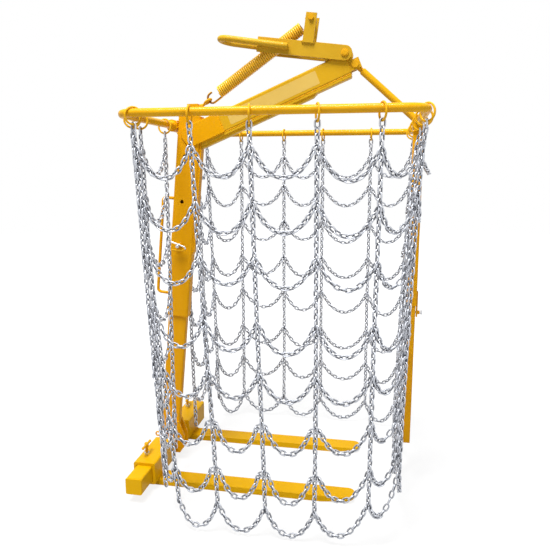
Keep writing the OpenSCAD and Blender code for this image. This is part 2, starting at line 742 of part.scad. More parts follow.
// The pin that holds the tie rod in the nose.
module tie_pin() {
  out = boom_w / 2 - boom_wall - weld_gap + seat;
  color("gold") translate([tie_top[0], 0, tie_top[1]]) {
    cross_bar(tie_pin_d, 2 * out + 10);
    for (s = side_y) cross_bar(tie_pin_d + 16, 5, s * (out + 2.5));
  }
}

// The front post's outer tube, hung on the hoop by two ears, with a tongue and nut below for the clamp screw.
module post_outer() {
  color("gold") {
    translate([hoop_front, 0, post_outer_z]) linear_extrude(post_top - post_outer_z)
      tube_section(post_size, post_size, post_wall, 5);
    translate([hoop_front - post_size / 2, -ear_y - ear_t, post_top - 6]) cube([post_size, 2 * (ear_y + ear_t), 6]);
    for (s = side_y) difference() {
      translate([hoop_front, 0, 0]) upright(ear_t, s * (ear_y + ear_t / 2)) {
        translate([-post_size / 2 + 2, post_top - 6]) square([post_size - 4, hoop_z - post_top + 6]);
        translate([0, hoop_z]) circle(d = post_size - 4);
      }
      translate([hoop_front, 0, hoop_z]) cross_bar(hoop_d + 2 * hinge_clear, hoop_w / 4);
    }
    difference() {
      union() {
        translate([hoop_front + post_size / 2 + tongue_t, 0, post_screw_z]) rotate([0, 90, 0])
          cylinder(d = 20, h = 11, $fn = 6);
        translate([hoop_front + post_size / 2 - 1, -15, post_outer_z - tongue_l]) cube([tongue_t + 1, 30, tongue_l + 70]);
      }
      translate([hoop_front, 0, post_screw_z]) rotate([0, 90, 0]) cylinder(d = screw_d - 3.8, h = 2 * post_size);
    }
  }
}

// The post's inner tube, which slides down to the tines.
module post_inner() {
  color("gold") translate([hoop_front, 0, post_foot_z]) linear_extrude(post_outer_z - post_foot_z + post_lap)
    tube_section(post_in, post_in, post_wall - 0.5, 4);
}

// The hex screw that clamps the post's tubes, through the nut on the outer one.
module post_clamp_screw() {
  foot = post_in / 2 + seat;
  out = post_size / 2 + post_screw_reach;
  head_h = 9;
  color("silver") translate([hoop_front, 0, post_screw_z]) rotate([0, 90, 0]) {
    translate([0, 0, foot]) cylinder(d = screw_d - 4, h = out - foot);
    translate([0, 0, out - head_h]) cylinder(d = 22, h = head_h, $fn = 6);
  }
}

// A ring of the net, hung over a tube that runs at the given angle in plan.
module net_ring(p, turn) {
  translate([p[0], p[1], ring_z]) rotate([0, 0, turn]) rotate([0, 90, 0]) rotate_extrude()
    translate([ring_r, 0]) circle(d = ring_bar);
}

// A long link that hangs in a ring, from its top end, in the XZ plane.
module link() {
  r = (link_w - link_wire) / 2;
  straight = link_pitch + link_wire - 2 * r;
  color("silver") translate([0, 0, -link_wire / 2 - r]) {
    rotate([90, 0, 0]) rotate_extrude(angle = 180) translate([r, 0]) circle(d = link_wire);
    for (s = side_y) translate([s * r, 0, -straight]) cylinder(d = link_wire, h = straight);
    translate([0, 0, -straight]) rotate([-90, 0, 0]) rotate_extrude(angle = 180) translate([r, 0]) circle(d = link_wire);
  }
}

// A column of the net as a plain bar of the chain's weight.
module net_column(c) {
  color("silver") bar_between(node_at(c, column_top_z), node_at(c, net_last_z - net_tail), chain_bar);
}

// A hanging bay of chain between two columns in a row: an arc of the row's sag, swung out to one side by tilt.
module net_bay(c1, c2, k, tilt) {
  p = node_at(c1, net_row_z(k));
  q = node_at(c2, net_row_z(k));
  half = norm(q - p) / 2 - chain_bar - seat;
  a = 2 * atan(min(net_sag / half, 1));
  r = half / sin(a);
  color("silver") translate((p + q) / 2) rotate([tilt, 0, atan2(q[1] - p[1], q[0] - p[0])]) translate([0, 0, r * cos(a)])
    rotate([90, 0, 0]) rotate([0, 0, -90 - a]) rotate_extrude(angle = 2 * a) translate([r, 0]) circle(d = chain_bar);
}

// A side of the net: its own columns, and bays across the column pairs that are given.
module net_side(columns, pairs, rows) {
  for (c = columns) net_column(c);
  for (pair = pairs, k = [0:rows - 1])
    net_bay(pair[0], pair[1], k, pair[0][4] == 90 && pair[0][1] * pair[1][1] < 0 ? -post_tilt : 0);
}
function chain_pairs(c) = [for (i = [0:len(c) - 2]) [c[i], c[i + 1]]];

all_columns = concat(right_columns, left_columns, rear_columns, front_columns);

module net_rings() { color("gold") for (c = all_columns) net_ring(c, c[4]); }

module net_top_links() { for (c = all_columns) translate([c[0], c[1], link_top_z]) rotate([0, 0, c[4]]) link(); }

module net_right() {
  net_side(right_columns, concat(chain_pairs(right_columns), [[right_columns[4], front_columns[0]]]), net_rows);
}

module net_left() {
  net_side(left_columns, concat(chain_pairs(left_columns), [[left_columns[3], front_columns[5]],
                                                            [left_columns[0], rear_columns[5]]]), net_rows);
}

module net_rear() {
  net_side(rear_columns, concat([[rear_columns[0], right_columns[0]]],
                                [for (i = [0, 1, 3, 4]) [rear_columns[i], rear_columns[i + 1]]]), net_rows - 1);
}

module net_front() { net_side(front_columns, chain_pairs(front_columns), net_rows); }

placed() translate([0, -sleeve_y, 0]) tine();  // right_tine
placed() translate([0, sleeve_y, 0]) tine();  // left_tine
placed() translate([0, -sleeve_y, 0]) sleeve(-1);  // right_sleeve
placed() translate([0, sleeve_y, 0]) sleeve(1);  // left_sleeve
placed() translate([0, -sleeve_y, 0]) clamp_nut(-1);  // right_clamp_nut
placed() translate([0, sleeve_y, 0]) clamp_nut(1);  // left_clamp_nut
placed() translate([0, -sleeve_y, 0]) clamp_screw(-1, 0);  // right_clamp_screw
placed() translate([0, sleeve_y, 0]) clamp_screw(1, left_turn);  // left_clamp_screw
placed() crossbar();
placed() crossbar_caps();
placed() foot_plates();
placed() inner_mast();
placed() outer_mast();
placed() mast_strip();
placed() mast_head();
placed() rear_handle();
placed() lock_pin();
placed() boom();
placed() boom_doublers();
placed() boom_cheeks();
placed() boom_nose();
placed() pivot_pin();
placed() lever_plate(-1);  // right_lever_plate
placed() lever_plate(1);  // left_lever_plate
placed() lever_stop();
placed() lifting_loop();
placed() spring_bracket();
placed() spring_bolt();
placed() balance_spring();
placed() spring_lower_hook();
placed() spring_upper_hook();
placed() eye_bolt();
placed() hoop();
placed() hoop_sleeve();
placed() tie_rod();
placed() tie_pin();
placed() post_outer();
placed() post_inner();
placed() post_clamp_screw();
placed() net_rings();
placed() net_top_links();
placed() net_right();
placed() net_left();
placed() net_rear();
placed() net_front();
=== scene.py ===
"""A self-balancing crane fork with a telescopic mast, a spring-held lifting lever and a chain safety net."""
from math import asin, atan2, cos, pi, radians, sin, tan

import bmesh
import bpy
import numpy as np
from mathutils import Matrix, Vector


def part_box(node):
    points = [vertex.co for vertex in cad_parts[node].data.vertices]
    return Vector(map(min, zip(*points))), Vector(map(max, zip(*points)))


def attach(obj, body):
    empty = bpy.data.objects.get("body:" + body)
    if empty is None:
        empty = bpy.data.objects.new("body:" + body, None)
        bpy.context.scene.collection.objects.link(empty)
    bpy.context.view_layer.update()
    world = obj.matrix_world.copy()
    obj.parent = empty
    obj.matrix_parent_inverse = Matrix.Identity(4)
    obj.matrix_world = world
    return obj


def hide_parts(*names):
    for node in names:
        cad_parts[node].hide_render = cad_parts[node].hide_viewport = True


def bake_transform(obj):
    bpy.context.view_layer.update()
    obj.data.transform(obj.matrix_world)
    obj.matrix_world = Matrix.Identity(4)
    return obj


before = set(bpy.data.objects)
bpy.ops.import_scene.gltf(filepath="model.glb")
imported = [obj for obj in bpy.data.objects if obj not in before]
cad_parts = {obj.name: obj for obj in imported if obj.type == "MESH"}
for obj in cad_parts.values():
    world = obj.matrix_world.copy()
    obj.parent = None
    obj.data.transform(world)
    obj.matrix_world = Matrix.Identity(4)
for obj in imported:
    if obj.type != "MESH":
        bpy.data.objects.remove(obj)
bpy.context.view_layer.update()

# ---- Camera ----
# The fork is seen from its right side, 2.9 m from its middle and 1.6 m up, looking 10 degrees down.
# Lengths along the fork are measured in millimetres from the tines' roots, 1000 mm behind their tips.
TINE_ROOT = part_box("right_tine")[1].x - 1.0
AHEAD, LEFT, UP = np.eye(3)
VIEW_TURN, VIEW_DIP = radians(10.657), radians(10.006)
VIEW_FROM = (1100.84, -2914.58, 1587.76)
VIEW_FOCAL_PX, PHOTO_WIDTH_PX = 579.02, 550


def at(x, y, z):
    """A point of the fork in metres, from millimetres in front of the tines' roots, to the left, and up."""
    return (TINE_ROOT + x / 1000, y / 1000, z / 1000)


scene = bpy.context.scene
lens = bpy.data.cameras.new("photo_camera")
lens.sensor_width = 36
lens.lens = VIEW_FOCAL_PX / PHOTO_WIDTH_PX * lens.sensor_width
camera = bpy.data.objects.new("photo_camera", lens)
scene.collection.objects.link(camera)
forward = Vector((-sin(VIEW_TURN) * cos(VIEW_DIP), cos(VIEW_TURN) * cos(VIEW_DIP), -sin(VIEW_DIP)))
rightward = Vector((cos(VIEW_TURN), sin(VIEW_TURN), 0))
camera.matrix_world = Matrix.Translation(at(*VIEW_FROM)) @ Matrix(
    (rightward, rightward.cross(forward), -forward)).transposed().to_4x4()
scene.camera = camera

# ---- Crossbar ----
# An 82 mm square tube in yellow enamel, closed by a welded plate at each end. Its edges are
# rounded as sprayed steel's are, and a bead of weld runs round both plates.
ENAMEL = (0.76, 0.355, 0.002)
ENAMEL_DEEP = (0.68, 0.285, 0.0015)
PRIMER = (0.30, 0.21, 0.13)
DUST = (0.78, 0.50, 0.08)
BAR_SIZE, BAR_LENGTH, BAR_CAP = 82, 1000, 6
SLEEVE_SIZE, SLEEVE_FRONT = 113.6, 4.4
TINE_THICK = 30
BAR_X, BAR_Z = SLEEVE_FRONT - SLEEVE_SIZE / 2, TINE_THICK + SLEEVE_SIZE / 2
TUBE_EDGE, TUBE_WEAR, PLATE_EDGE = 4.0, 0.4, 2.0
CORNER_CUT, BAR_WELD = 7, 2.2
# Seated pieces lie this far apart.
SEAT = 0.3
# Points of a solid this near are one, in metres. Faces that meet flatter are one, and sharper edges are rounded.
SAME_POINT, FLAT_ANGLE, SHARP_ANGLE = 2e-5, radians(0.6), radians(38)
# The shares of a bar's radius at the rows of its domed end, and how many radii the dome reaches.
DOME, DOME_REACH = np.array([0.0, 0.25, 0.6, 0.87]), 0.35
# A weld's rows lie a step apart, and the rest is in shares of its size: a drop's length, the least radius and its
# rise, and how far the middle line and the radius stray.
WELD_STEP, WELD_DROP, WELD_LOW, WELD_RISE, WELD_WANDER, WELD_ROUGH = 1.5, 1.25, 0.80, 0.22, 0.06, 0.03
chance = np.random.default_rng(11)


class Wire:
    """A value in a material's node tree. Arithmetic on it adds Math nodes, and add() adds any other node."""

    def __init__(self, tree, socket):
        self.tree, self.socket = tree, socket

    def add(self, kind, settings=(), output=0, **values):
        """A node of the given type: its settings are set first, then its sockets, by name or as _0, _1 by place."""
        node = self.tree.nodes.new(kind)
        for key, value in dict(settings).items():
            setattr(node, key, value)
        for key, value in values.items():
            socket = node.inputs[int(key[1:]) if key[0] == "_" else key.replace("_", " ")]
            if isinstance(value, Wire):
                self.tree.links.new(value.socket, socket)
            else:
                socket.default_value = value
        return Wire(self.tree, node.outputs[output])

    def math(self, operation, *values):
        return self.add("ShaderNodeMath", {"operation": operation}, **{f"_{i}": v for i, v in enumerate(values)})

    def __add__(self, other): return self.math("ADD", self, other)
    def __sub__(self, other): return self.math("SUBTRACT", self, other)
    def __rsub__(self, other): return self.math("SUBTRACT", other, self)
    def __mul__(self, other): return self.math("MULTIPLY", self, other)
    __radd__, __rmul__ = __add__, __mul__

    def between(self, low, high):
        """0 below low, 1 above high, and a smooth step between them."""
        return self.add("ShaderNodeMapRange", {"interpolation_type": "SMOOTHSTEP"}, _0=self, _1=low, _2=high)

    def noise(self, scale, detail=2.0, roughness=0.5):
        """Fractal noise on these coordinates, from 0 to 1."""
        return self.add("ShaderNodeTexNoise", Vector=self, Scale=scale, Detail=detail, Roughness=roughness)

    def blend(self, one, other):
        """The first colour where this is 0 and the second where it is 1."""
        return self.add("ShaderNodeMix", {"data_type": "RGBA"}, 2, _0=self, _6=one, _7=other)


def rgba(colour):
    return (*colour, 1.0) if isinstance(colour, tuple) else colour


def new_finish(name):
    """A material's first wire, which is the object's own coordinates, and the material."""
    material = bpy.data.materials.new(name)
    material.use_nodes = True
    tree = material.node_tree
    coordinates = tree.nodes.new("ShaderNodeTexCoord")
    return Wire(tree, coordinates.outputs["Object"]), material


def feed(material, **values):
    """Sets or links the main shader's sockets."""
    shader = material.node_tree.nodes["Principled BSDF"]
    for key, value in values.items():
        socket = shader.inputs[key.replace("_", " ")]
        if isinstance(value, Wire):
            material.node_tree.links.new(value.socket, socket)
        else:
            socket.default_value = value


def enamel(name, colour=ENAMEL, deep=ENAMEL_DEEP, gloss=0.34, coat=0.06):
    """Sprayed yellow enamel: broad swings of thickness, orange peel, fine dust, and chips where an edge is rubbed."""
    here, material = new_finish(name)
    broad = here.noise(5.5, 3, 0.55).between(0.38, 0.72)
    fine = here.noise(60, 4, 0.6)
    coat_colour = (broad * 0.5).blend(rgba(colour), rgba(deep))
    dusty = (fine.between(0.52, 0.80) * 0.08).blend(coat_colour, rgba(DUST))
    wear_and_shade = here.add("ShaderNodeAttribute", {"attribute_name": "wear_and_shade"}, 2)
    chips = wear_and_shade * here.noise(150, 3, 0.7).between(0.64, 0.70)
    base = (chips * 0.7).blend(dusty, rgba(PRIMER))
    peel = here.add("ShaderNodeBump", Strength=0.10, Distance=0.0012,
                    Height=here.noise(420, 1) + 0.8 * here.noise(38, 2) - chips * 0.6)
    feed(material, Base_Color=base, Roughness=gloss + 0.14 * fine + chips * 0.25, Normal=peel,
         Coat_Weight=coat, Coat_Roughness=0.12, Specular_IOR_Level=0.06)
    return material


finishes = {
    "frame_paint": enamel("frame_enamel"),
    "tube_paint": enamel("tube_enamel", (0.76, 0.39, 0.006), (0.68, 0.31, 0.003), 0.28, 0.12),
    "lever_paint": enamel("lever_enamel", (0.60, 0.35, 0.020), (0.53, 0.29, 0.010), 0.36),
    "fork_paint": enamel("fork_enamel", (0.72, 0.39, 0.0015), (0.66, 0.34, 0.001), 0.32, 0.03),
    "pin_paint": enamel("pin_enamel", (0.72, 0.37, 0.010), (0.62, 0.28, 0.005), 0.34),
}


def finished(obj, slot, body=None):
    """Gives a piece its material and, where one is named, its body."""
    obj.data.materials.clear()
    obj.data.materials.append(finishes[slot])
    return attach(obj, body) if body else obj


def as_piece(name, mesh):
    """An object at the origin made of a bmesh, which is freed. All its faces are smooth."""
    data = bpy.data.meshes.new(name)
    mesh.to_mesh(data)
    mesh.free()
    data.polygons.foreach_set("use_smooth", np.ones(len(data.polygons), bool))
    obj = bpy.data.objects.new(name, data)
    scene.collection.objects.link(obj)
    return obj


def rounded(node, slot, body, edge, wear=1.0):
    """A CAD solid with its loose triangles joined, its sharp edges rounded by edge millimetres in two steps, and the
    rounds marked for wear. It stands for the node."""
    mesh = bmesh.new()
    mesh.from_mesh(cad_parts[node].data)
    bmesh.ops.remove_doubles(mesh, verts=mesh.verts, dist=SAME_POINT)
    bmesh.ops.dissolve_degenerate(mesh, edges=mesh.edges, dist=1e-6)
    bmesh.ops.dissolve_limit(mesh, angle_limit=FLAT_ANGLE, verts=mesh.verts, edges=mesh.edges)
    marks = mesh.faces.layers.float.new("wear_and_shade")
    sharp = [e for e in mesh.edges if e.is_manifold and e.calc_face_angle(0) > SHARP_ANGLE]
    made = bmesh.ops.bevel(mesh, geom=sharp, offset=edge / 1000, offset_type="OFFSET", segments=2,
                           profile=0.5, affect="EDGES", clamp_overlap=True)
    for face in made["faces"]:
        face[marks] = wear
    obj = as_piece("steel_" + node, mesh)
    obj.modifiers.new("flats", "WEIGHTED_NORMAL").keep_sharp = True
    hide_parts(node)
    return finished(obj, slot, body)


def grid_faces(rows, cols, ring):
    """Quads of a grid of points counted row by row. The columns close up, and the rows do too where ring is set."""
    i, j = np.meshgrid(np.arange(rows if ring else rows - 1), np.arange(cols), indexing="ij")
    right, down = (j + 1) % cols, (i + 1) % rows
    return np.stack([i * cols + j, i * cols + right, down * cols + right, down * cols + j], -1).reshape(-1, 4)


def unit(v):
    return v / np.linalg.norm(v, axis=-1, keepdims=True)


def swept(path, radius, up, sides=16, ring=False):
    """A round bar along a path: at each point a circle square to the path, radius * (up cos a + side sin a). The
    radius may change along the path and, given as rows, round the circle. An open bar's ends are domed."""
    path, radius = np.asarray(path, float), np.asarray(radius, float)
    if radius.ndim < 2:
        radius = np.broadcast_to(radius, len(path))[:, None]
    along = unit(np.roll(path, -1, 0) - np.roll(path, 1, 0) if ring else np.gradient(path, axis=0))
    if not ring:
        end = radius[[0, -1]].mean(1)
        reach = np.sqrt(1 - DOME ** 2) * DOME_REACH
        first = path[0] - along[0] * (reach * end[0])[:, None]
        last = path[-1] + along[-1] * (reach[::-1] * end[1])[:, None]
        path = np.concatenate([first, path, last])
        along = np.pad(along, ((len(DOME), len(DOME)), (0, 0)), mode="edge")
        radius = np.concatenate([radius[:1] * DOME[:, None], radius, radius[-1:] * DOME[::-1, None]])
    up = np.broadcast_to(np.asarray(up, float), path.shape)
    up = unit(up - (up * along).sum(-1, keepdims=True) * along)
    side = np.cross(along, up)
    turn = np.arange(sides) * 2 * pi / sides
    points = path[:, None] + radius[..., None] * (up[:, None] * np.cos(turn)[None, :, None]
                                                  + side[:, None] * np.sin(turn)[None, :, None])
    return points.reshape(-1, 3), grid_faces(len(path), sides, ring)


def joined(name, parts, slot, body=None, node=None, wear_and_shade=None):
    """One piece from several (points, faces) surfaces, in millimetres of the fork, with poles and seams closed. It
    stands for the node, where one is named. The function given as the last argument gives each point a share from 0 to
    1: wear where the enamel chips, and painted shade on the chains' links and in the spring's grooves."""
    points, faces, start = [], [], 0
    for p, f in parts:
        points.append(p)
        faces.append(f + start)
        start += len(p)
    points = np.concatenate(points) / 1000 + [TINE_ROOT, 0, 0]
    data = bpy.data.meshes.new(name)
    data.from_pydata(points.tolist(), [], np.concatenate(faces).tolist())
    if wear_and_shade is not None:
        data.attributes.new("wear_and_shade", "FLOAT", "POINT").data.foreach_set("value", wear_and_shade(points).astype(np.float32))
    mesh = bmesh.new()
    mesh.from_mesh(data)
    bpy.data.meshes.remove(data)
    bmesh.ops.remove_doubles(mesh, verts=mesh.verts, dist=2e-6)
    bmesh.ops.dissolve_degenerate(mesh, edges=mesh.edges, dist=1e-7)
    piece = finished(as_piece(name, mesh), slot, body)
    if node:
        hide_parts(node)
    return piece


def weld(corners, size, up=LEFT, ring=False):
    """A bead of weld along corner points: a bar whose radius rises and falls at each drop of the rod, with small
    seeded changes, and whose middle line wanders a little."""
    corners = np.asarray(corners, float)
    if ring:
        corners = np.concatenate([corners, corners[:1]])
    reach = np.concatenate([[0], np.cumsum(np.linalg.norm(np.diff(corners, axis=0), axis=1))])
    count = max(int(reach[-1] / WELD_STEP), 6)
    run = np.linspace(0, reach[-1], count, endpoint=not ring)
    path = np.stack([np.interp(run, reach, corners[:, k]) for k in range(3)], -1)
    path += chance.normal(0, WELD_WANDER * size, path.shape)
    drops = np.abs(np.sin(run * pi / (WELD_DROP * size)))
    radius = size * (WELD_LOW + WELD_RISE * drops + chance.normal(0, WELD_ROUGH, count))
    return swept(path, radius, up, 8, ring)


rounded("crossbar", "fork_paint", "lower_mast", TUBE_EDGE, TUBE_WEAR)
rounded("crossbar_caps", "fork_paint", "lower_mast", PLATE_EDGE)
# Each end's bead follows the tube's square, with its corners cut off.
half, cut = BAR_SIZE / 2, BAR_SIZE / 2 - CORNER_CUT
square = ((-cut, -half), (cut, -half), (half, -cut), (half, cut),
          (cut, half), (-cut, half), (-half, cut), (-half, -cut))
joined("crossbar_welds", [weld([(BAR_X + x, s * (BAR_LENGTH / 2 - BAR_CAP), BAR_Z + z) for x, z in square],
                               BAR_WELD, ring=True) for s in (-1, 1)], "fork_paint", "lower_mast")

# ---- Tines and sleeves ----
# Each tine is a flat forged blade welded under a square sleeve that slides on the crossbar. A nut
# on the sleeve takes a clamp screw, a threaded rod with a loose cross bar through its head.
TINE_WIDE, TINE_SPACING = 100, 527
TINE_EDGE, TINE_WEAR = 3.0, 0.8
SLEEVE_LONG, SLEEVE_SHIFT = 288, 42
SCREW_D, SCREW_ARM, SCREW_BAR, SCREW_RISE = 16, 86, 12, 40
SCREW_X, SCREW_IN = BAR_X - 22, 88
HEAD_R, HEAD_HALF = 11, 10
NUT_H, NUT_R, NUT_EDGE, NUT_WELD = 14, 14.6, 1.0, 2.2
ROOT_WELD, FLANK_WELD = 4.4, 3.4
# How dark the links' painted shade makes bare metal, and how dull the zinc's crystals are, as shares of its colour.
PAINTED_SHADE_SHARE, DULL_SHADE = (0.18, 0.185, 0.20), 0.5
THREAD_PITCH, THREAD_DEPTH = 2.5, 1.1
# The radii of a 12 mm cross bar over the bead at its end.
BEAD = [6, 6.9, 7.5, 6.6, 4.5]


def bare_metal(name, colour, rough, grain):
    """Plated steel: a bright, clouded skin, with the zinc's crystals as small cells of differing shine. It is darkened
    towards a painted shade by the share in the attribute, which on the chains is the shade on the links' inner sides."""
    here, material = new_finish(name)
    cloud = here.noise(30, 3, 0.6)
    cells = here.add("ShaderNodeTexVoronoi", {"feature": "F1"}, 1, Vector=here, Scale=grain)
    cell = here.add("ShaderNodeSeparateColor", Color=cells)
    # The attribute darkens the skin to a painted shade: on the chains, the shade on the links' inner sides.
    painted_shade = here.add("ShaderNodeAttribute", {"attribute_name": "wear_and_shade"}, 2)
    dark = rgba(tuple(c * shade for c, shade in zip(colour, PAINTED_SHADE_SHARE)))
    dull = rgba(tuple(c * DULL_SHADE for c in colour))
    skin = (0.25 * cloud.between(0.45, 0.75) + 0.45 * cell).blend(rgba(colour), dull)
    base = painted_shade.blend(skin, dark)
    bump = here.add("ShaderNodeBump", Strength=0.25, Distance=0.0006, Height=here.noise(900, 2) + 0.5 * cloud)
    feed(material, Base_Color=base, Metallic=1.0, Roughness=rough + 0.18 * cloud + 0.10 * cell, Normal=bump)
    return material


finishes["zinc"] = bare_metal("zinc_plate", (0.68, 0.69, 0.71), 0.22, 260)


def arc_path(points, bend, steps):
    """A path through corner points with each inner corner turned on an arc of the bend radius."""
    points = [np.asarray(p, float) for p in points]
    path = [points[0]]
    for before, corner, after in zip(points, points[1:], points[2:]):
        a, b = unit(before - corner), unit(after - corner)
        half = np.arccos(np.clip(a @ b, -1, 1)) / 2
        middle = corner + unit(a + b) * bend / sin(half)
        start = corner + a * bend / tan(half) - middle
        side = unit(b - a * (a @ b)) if abs(a @ b) < 1 - 1e-9 else b
        turn = np.linspace(0, pi - 2 * half, steps + 1)[:, None]
        path.extend(middle + start * np.cos(turn) + unit(-a) * bend * np.sin(turn))
    path.append(points[-1])
    return np.array(path)


def thread(start, end, radius, pitch, depth):
    """A threaded rod: its radius is a triangle wave of the height in pitches less the share of a turn, so the ridge
    winds round it. There are four rows to a pitch, and 16 points round."""
    start, end = np.asarray(start, float), np.asarray(end, float)
    long = np.linalg.norm(end - start)
    rows = int(long / pitch * 4) + 1
    h = np.linspace(0, long, rows)
    turn = np.arange(16) / 16
    wave = np.abs(((h[:, None] / pitch - turn[None]) % 1) * 2 - 1)
    up = AHEAD if abs((end - start)[2]) > 0.7 * long else UP
    return swept(start + (end - start) * (h / long)[:, None], radius - depth * wave, up)


for side_name, side in (("right", -1), ("left", 1)):
    body = side_name + "_carriage"
    mid_y = side * TINE_SPACING / 2
    rounded(side_name + "_tine", "fork_paint", body, TINE_EDGE, TINE_WEAR)
    rounded(side_name + "_sleeve", "fork_paint", body, TUBE_EDGE, TUBE_WEAR)
    rounded(side_name + "_clamp_nut", "zinc", body, NUT_EDGE, 0)
    screw_y = mid_y + SLEEVE_SHIFT + side * (SLEEVE_LONG / 2 - SCREW_IN)
    sleeve_top = BAR_Z + SLEEVE_SIZE / 2
    tine_y = (mid_y - TINE_WIDE / 2, mid_y + TINE_WIDE / 2)
    seam_z = TINE_THICK + 1
    ring = np.linspace(0, 2 * pi, 24, endpoint=False)
    nut_seam = np.stack([SCREW_X + NUT_R * np.cos(ring), screw_y + NUT_R * np.sin(ring),
                         sleeve_top + 0.6 + 0 * ring], -1)
    joined(side_name + "_carriage_welds", [
        weld([(SLEEVE_FRONT + 1, y, seam_z) for y in tine_y], ROOT_WELD, UP),
        *[weld([(SLEEVE_FRONT - SLEEVE_SIZE + 6, y, seam_z), (SLEEVE_FRONT - 6, y, seam_z)], FLANK_WELD, UP)
          for y in tine_y],
        weld(nut_seam, NUT_WELD, UP, True)], "fork_paint", body)
    head = np.array([SCREW_X, screw_y, sleeve_top + NUT_H + SCREW_RISE])
    turn = radians(0 if side < 0 else 12)
    along = np.array([-sin(turn), cos(turn), 0])
    bead_run = SCREW_ARM / 2 + np.array([-6, -4, 0, 4, 5])
    run = np.concatenate([-bead_run[::-1], [0], bead_run])
    thick = np.array(BEAD[::-1] + [6] + BEAD) * SCREW_BAR / 12
    thread_foot = (SCREW_X, screw_y, BAR_Z + BAR_SIZE / 2 + 0.6)
    joined(side_name + "_clamp_screw_bar", [
        thread(thread_foot, head - [0, 0, 9], SCREW_D / 2, THREAD_PITCH, THREAD_DEPTH),
        swept(head + np.outer([-HEAD_HALF, -8.8, 0, 8.8, HEAD_HALF], UP),
              [HEAD_R - 1.4, HEAD_R, HEAD_R, HEAD_R, HEAD_R - 1.4], AHEAD, 24),
        swept(head + np.outer(run, along), thick, UP)],
           "pin_paint", side_name + "_screw", side_name + "_clamp_screw")

# ---- Mast ----
# Two rectangular tubes that telescope and lean 5.5 degrees forward. Two plates weld the inner one
# to the crossbar; the outer one has three height holes, a front strip and a bent grab handle.
LEAN = radians(5.5)
MAST_W, MAST_D = 120, 60
OUTER_START, OUTER_END = 746, 1786
HANDLE_D, HANDLE_REACH, HANDLE_LONG, HANDLE_UP = 16, 65, 510, 114
HANDLE_BEND, HANDLE_WELD = 20, 2.6
PIN_UP, HOLE_BACK = 1126, 12
PIN_R, PULL_R, PULL_SPLIT = 8.9, 4.5, 8
INNER_D, FOOT_T, FOOT_GAP, FOOT_OUT, FOOT_LOW, FOOT_HIGH = 42.4, 12, 0.4, 47, 44, 132
WASHER_R, BOW_AT, BOW_R = 16, (32, -12), 11
MAST_EDGE, BAR_SEAM, FOOT_SEAM = 1.2, 2.9, 3.0


def on_mast(s, out=0.0, y=0.0):
    """A point s up the mast's middle line and out in front of it."""
    return np.array([BAR_X + s * sin(LEAN) + out * cos(LEAN), y, BAR_Z + s * cos(LEAN) - out * sin(LEAN)])


for node, body, edge in (("inner_mast", "lower_mast", MAST_EDGE), ("outer_mast", "frame", MAST_EDGE),
                         ("mast_strip", "frame", MAST_EDGE), ("foot_plates", "lower_mast", PLATE_EDGE)):
    rounded(node, "frame_paint", body, edge)

handle_out = -(MAST_W / 2 + HANDLE_REACH)
handle_low = OUTER_START + HANDLE_UP
handle_high = handle_low + HANDLE_LONG
handle_line = arc_path([on_mast(handle_low, -MAST_W / 2 + 1), on_mast(handle_low, handle_out),
                        on_mast(handle_high, handle_out), on_mast(handle_high, -MAST_W / 2 + 1)], HANDLE_BEND, 10)
joined("grab_handle_bar", [swept(handle_line, HANDLE_D / 2, LEFT, 20)], "frame_paint", "frame", "rear_handle")

# The lock pin's pull is a bent wire. Its points are given in front of the pin and above it, along the mast.
pin_at = on_mast(PIN_UP, -HOLE_BACK)
bow_turn = np.radians(np.linspace(76, -86, 12))
bow = BOW_AT + BOW_R * np.stack([np.cos(bow_turn), np.sin(bow_turn)], -1)
pull = np.concatenate([[[-37, 16.6], [-20, 12.3]], bow, [[0, -25.3], [-29, -27.3]]]) + [0, 5]
pull_y = -MAST_D / 2 - 26
washer_y = -MAST_D / 2 - SEAT
wire = pin_at + pull[:, :1] * [cos(LEAN), 0, -sin(LEAN)] + pull[:, 1:] * [sin(LEAN), 0, cos(LEAN)] + [0, pull_y, 0]
washer = pin_at + [[0, washer_y - w, 0] for w in (0.4, 2.5, 4.6)]
joined("lock_pin_pull", [swept(wire[PULL_SPLIT:], PULL_R, LEFT), swept(washer, WASHER_R - np.array([1, 0, 1]), UP, 28)],
       "pin_paint", "mast_lock")
pin_line = np.linspace(pin_at + [0, MAST_D / 2 + 11, 0], pin_at + [0, pull_y - 5, 0], 10)
joined("lock_pin_bar", [swept(wire[:PULL_SPLIT + 1], PULL_R, LEFT), swept(pin_line, PIN_R, UP, 24)],
       "zinc", "mast_lock", "lock_pin")

foot_y = INNER_D / 2 + FOOT_T + FOOT_GAP
seam_y = INNER_D / 2 + FOOT_GAP
bar_edge = BAR_SIZE / 2 + 1.5
lower_welds = [weld([(BAR_X + a * bar_edge, s * foot_y, BAR_Z + b * bar_edge) for a, b in
                     ((-1, -1), (1, -1), (1, 1), (-1, 1))], BAR_SEAM, ring=True) for s in (-1, 1)]
lower_welds += [weld([on_mast(up, f * FOOT_OUT, s * seam_y) for up in (FOOT_LOW, FOOT_HIGH)], FOOT_SEAM)
                for s in (-1, 1) for f in (-1, 1)]
joined("mast_foot_welds", lower_welds, "frame_paint", "lower_mast")

STRIP_LOW, STRIP_HIGH, STRIP_HALF, STRIP_SEAM = 1096, 1604, 22, 3.0
frame_welds = [weld([on_mast(up, MAST_W / 2 + 1, s * STRIP_HALF) for up in (STRIP_LOW, STRIP_HIGH)], STRIP_SEAM)
               for s in (-1, 1)]
ring = np.linspace(0, 2 * pi, 20, endpoint=False)[:, None]
mast_up, mast_back = on_mast(1) - on_mast(0), on_mast(0, -1) - on_mast(0)
handle_seam = (HANDLE_D / 2 + 2.5) * (np.cos(ring) * LEFT + np.sin(ring) * mast_up)
frame_welds += [weld(on_mast(up, -MAST_W / 2 - 0.5) + handle_seam, HANDLE_WELD, mast_back, True)
                for up in (handle_low, handle_high)]

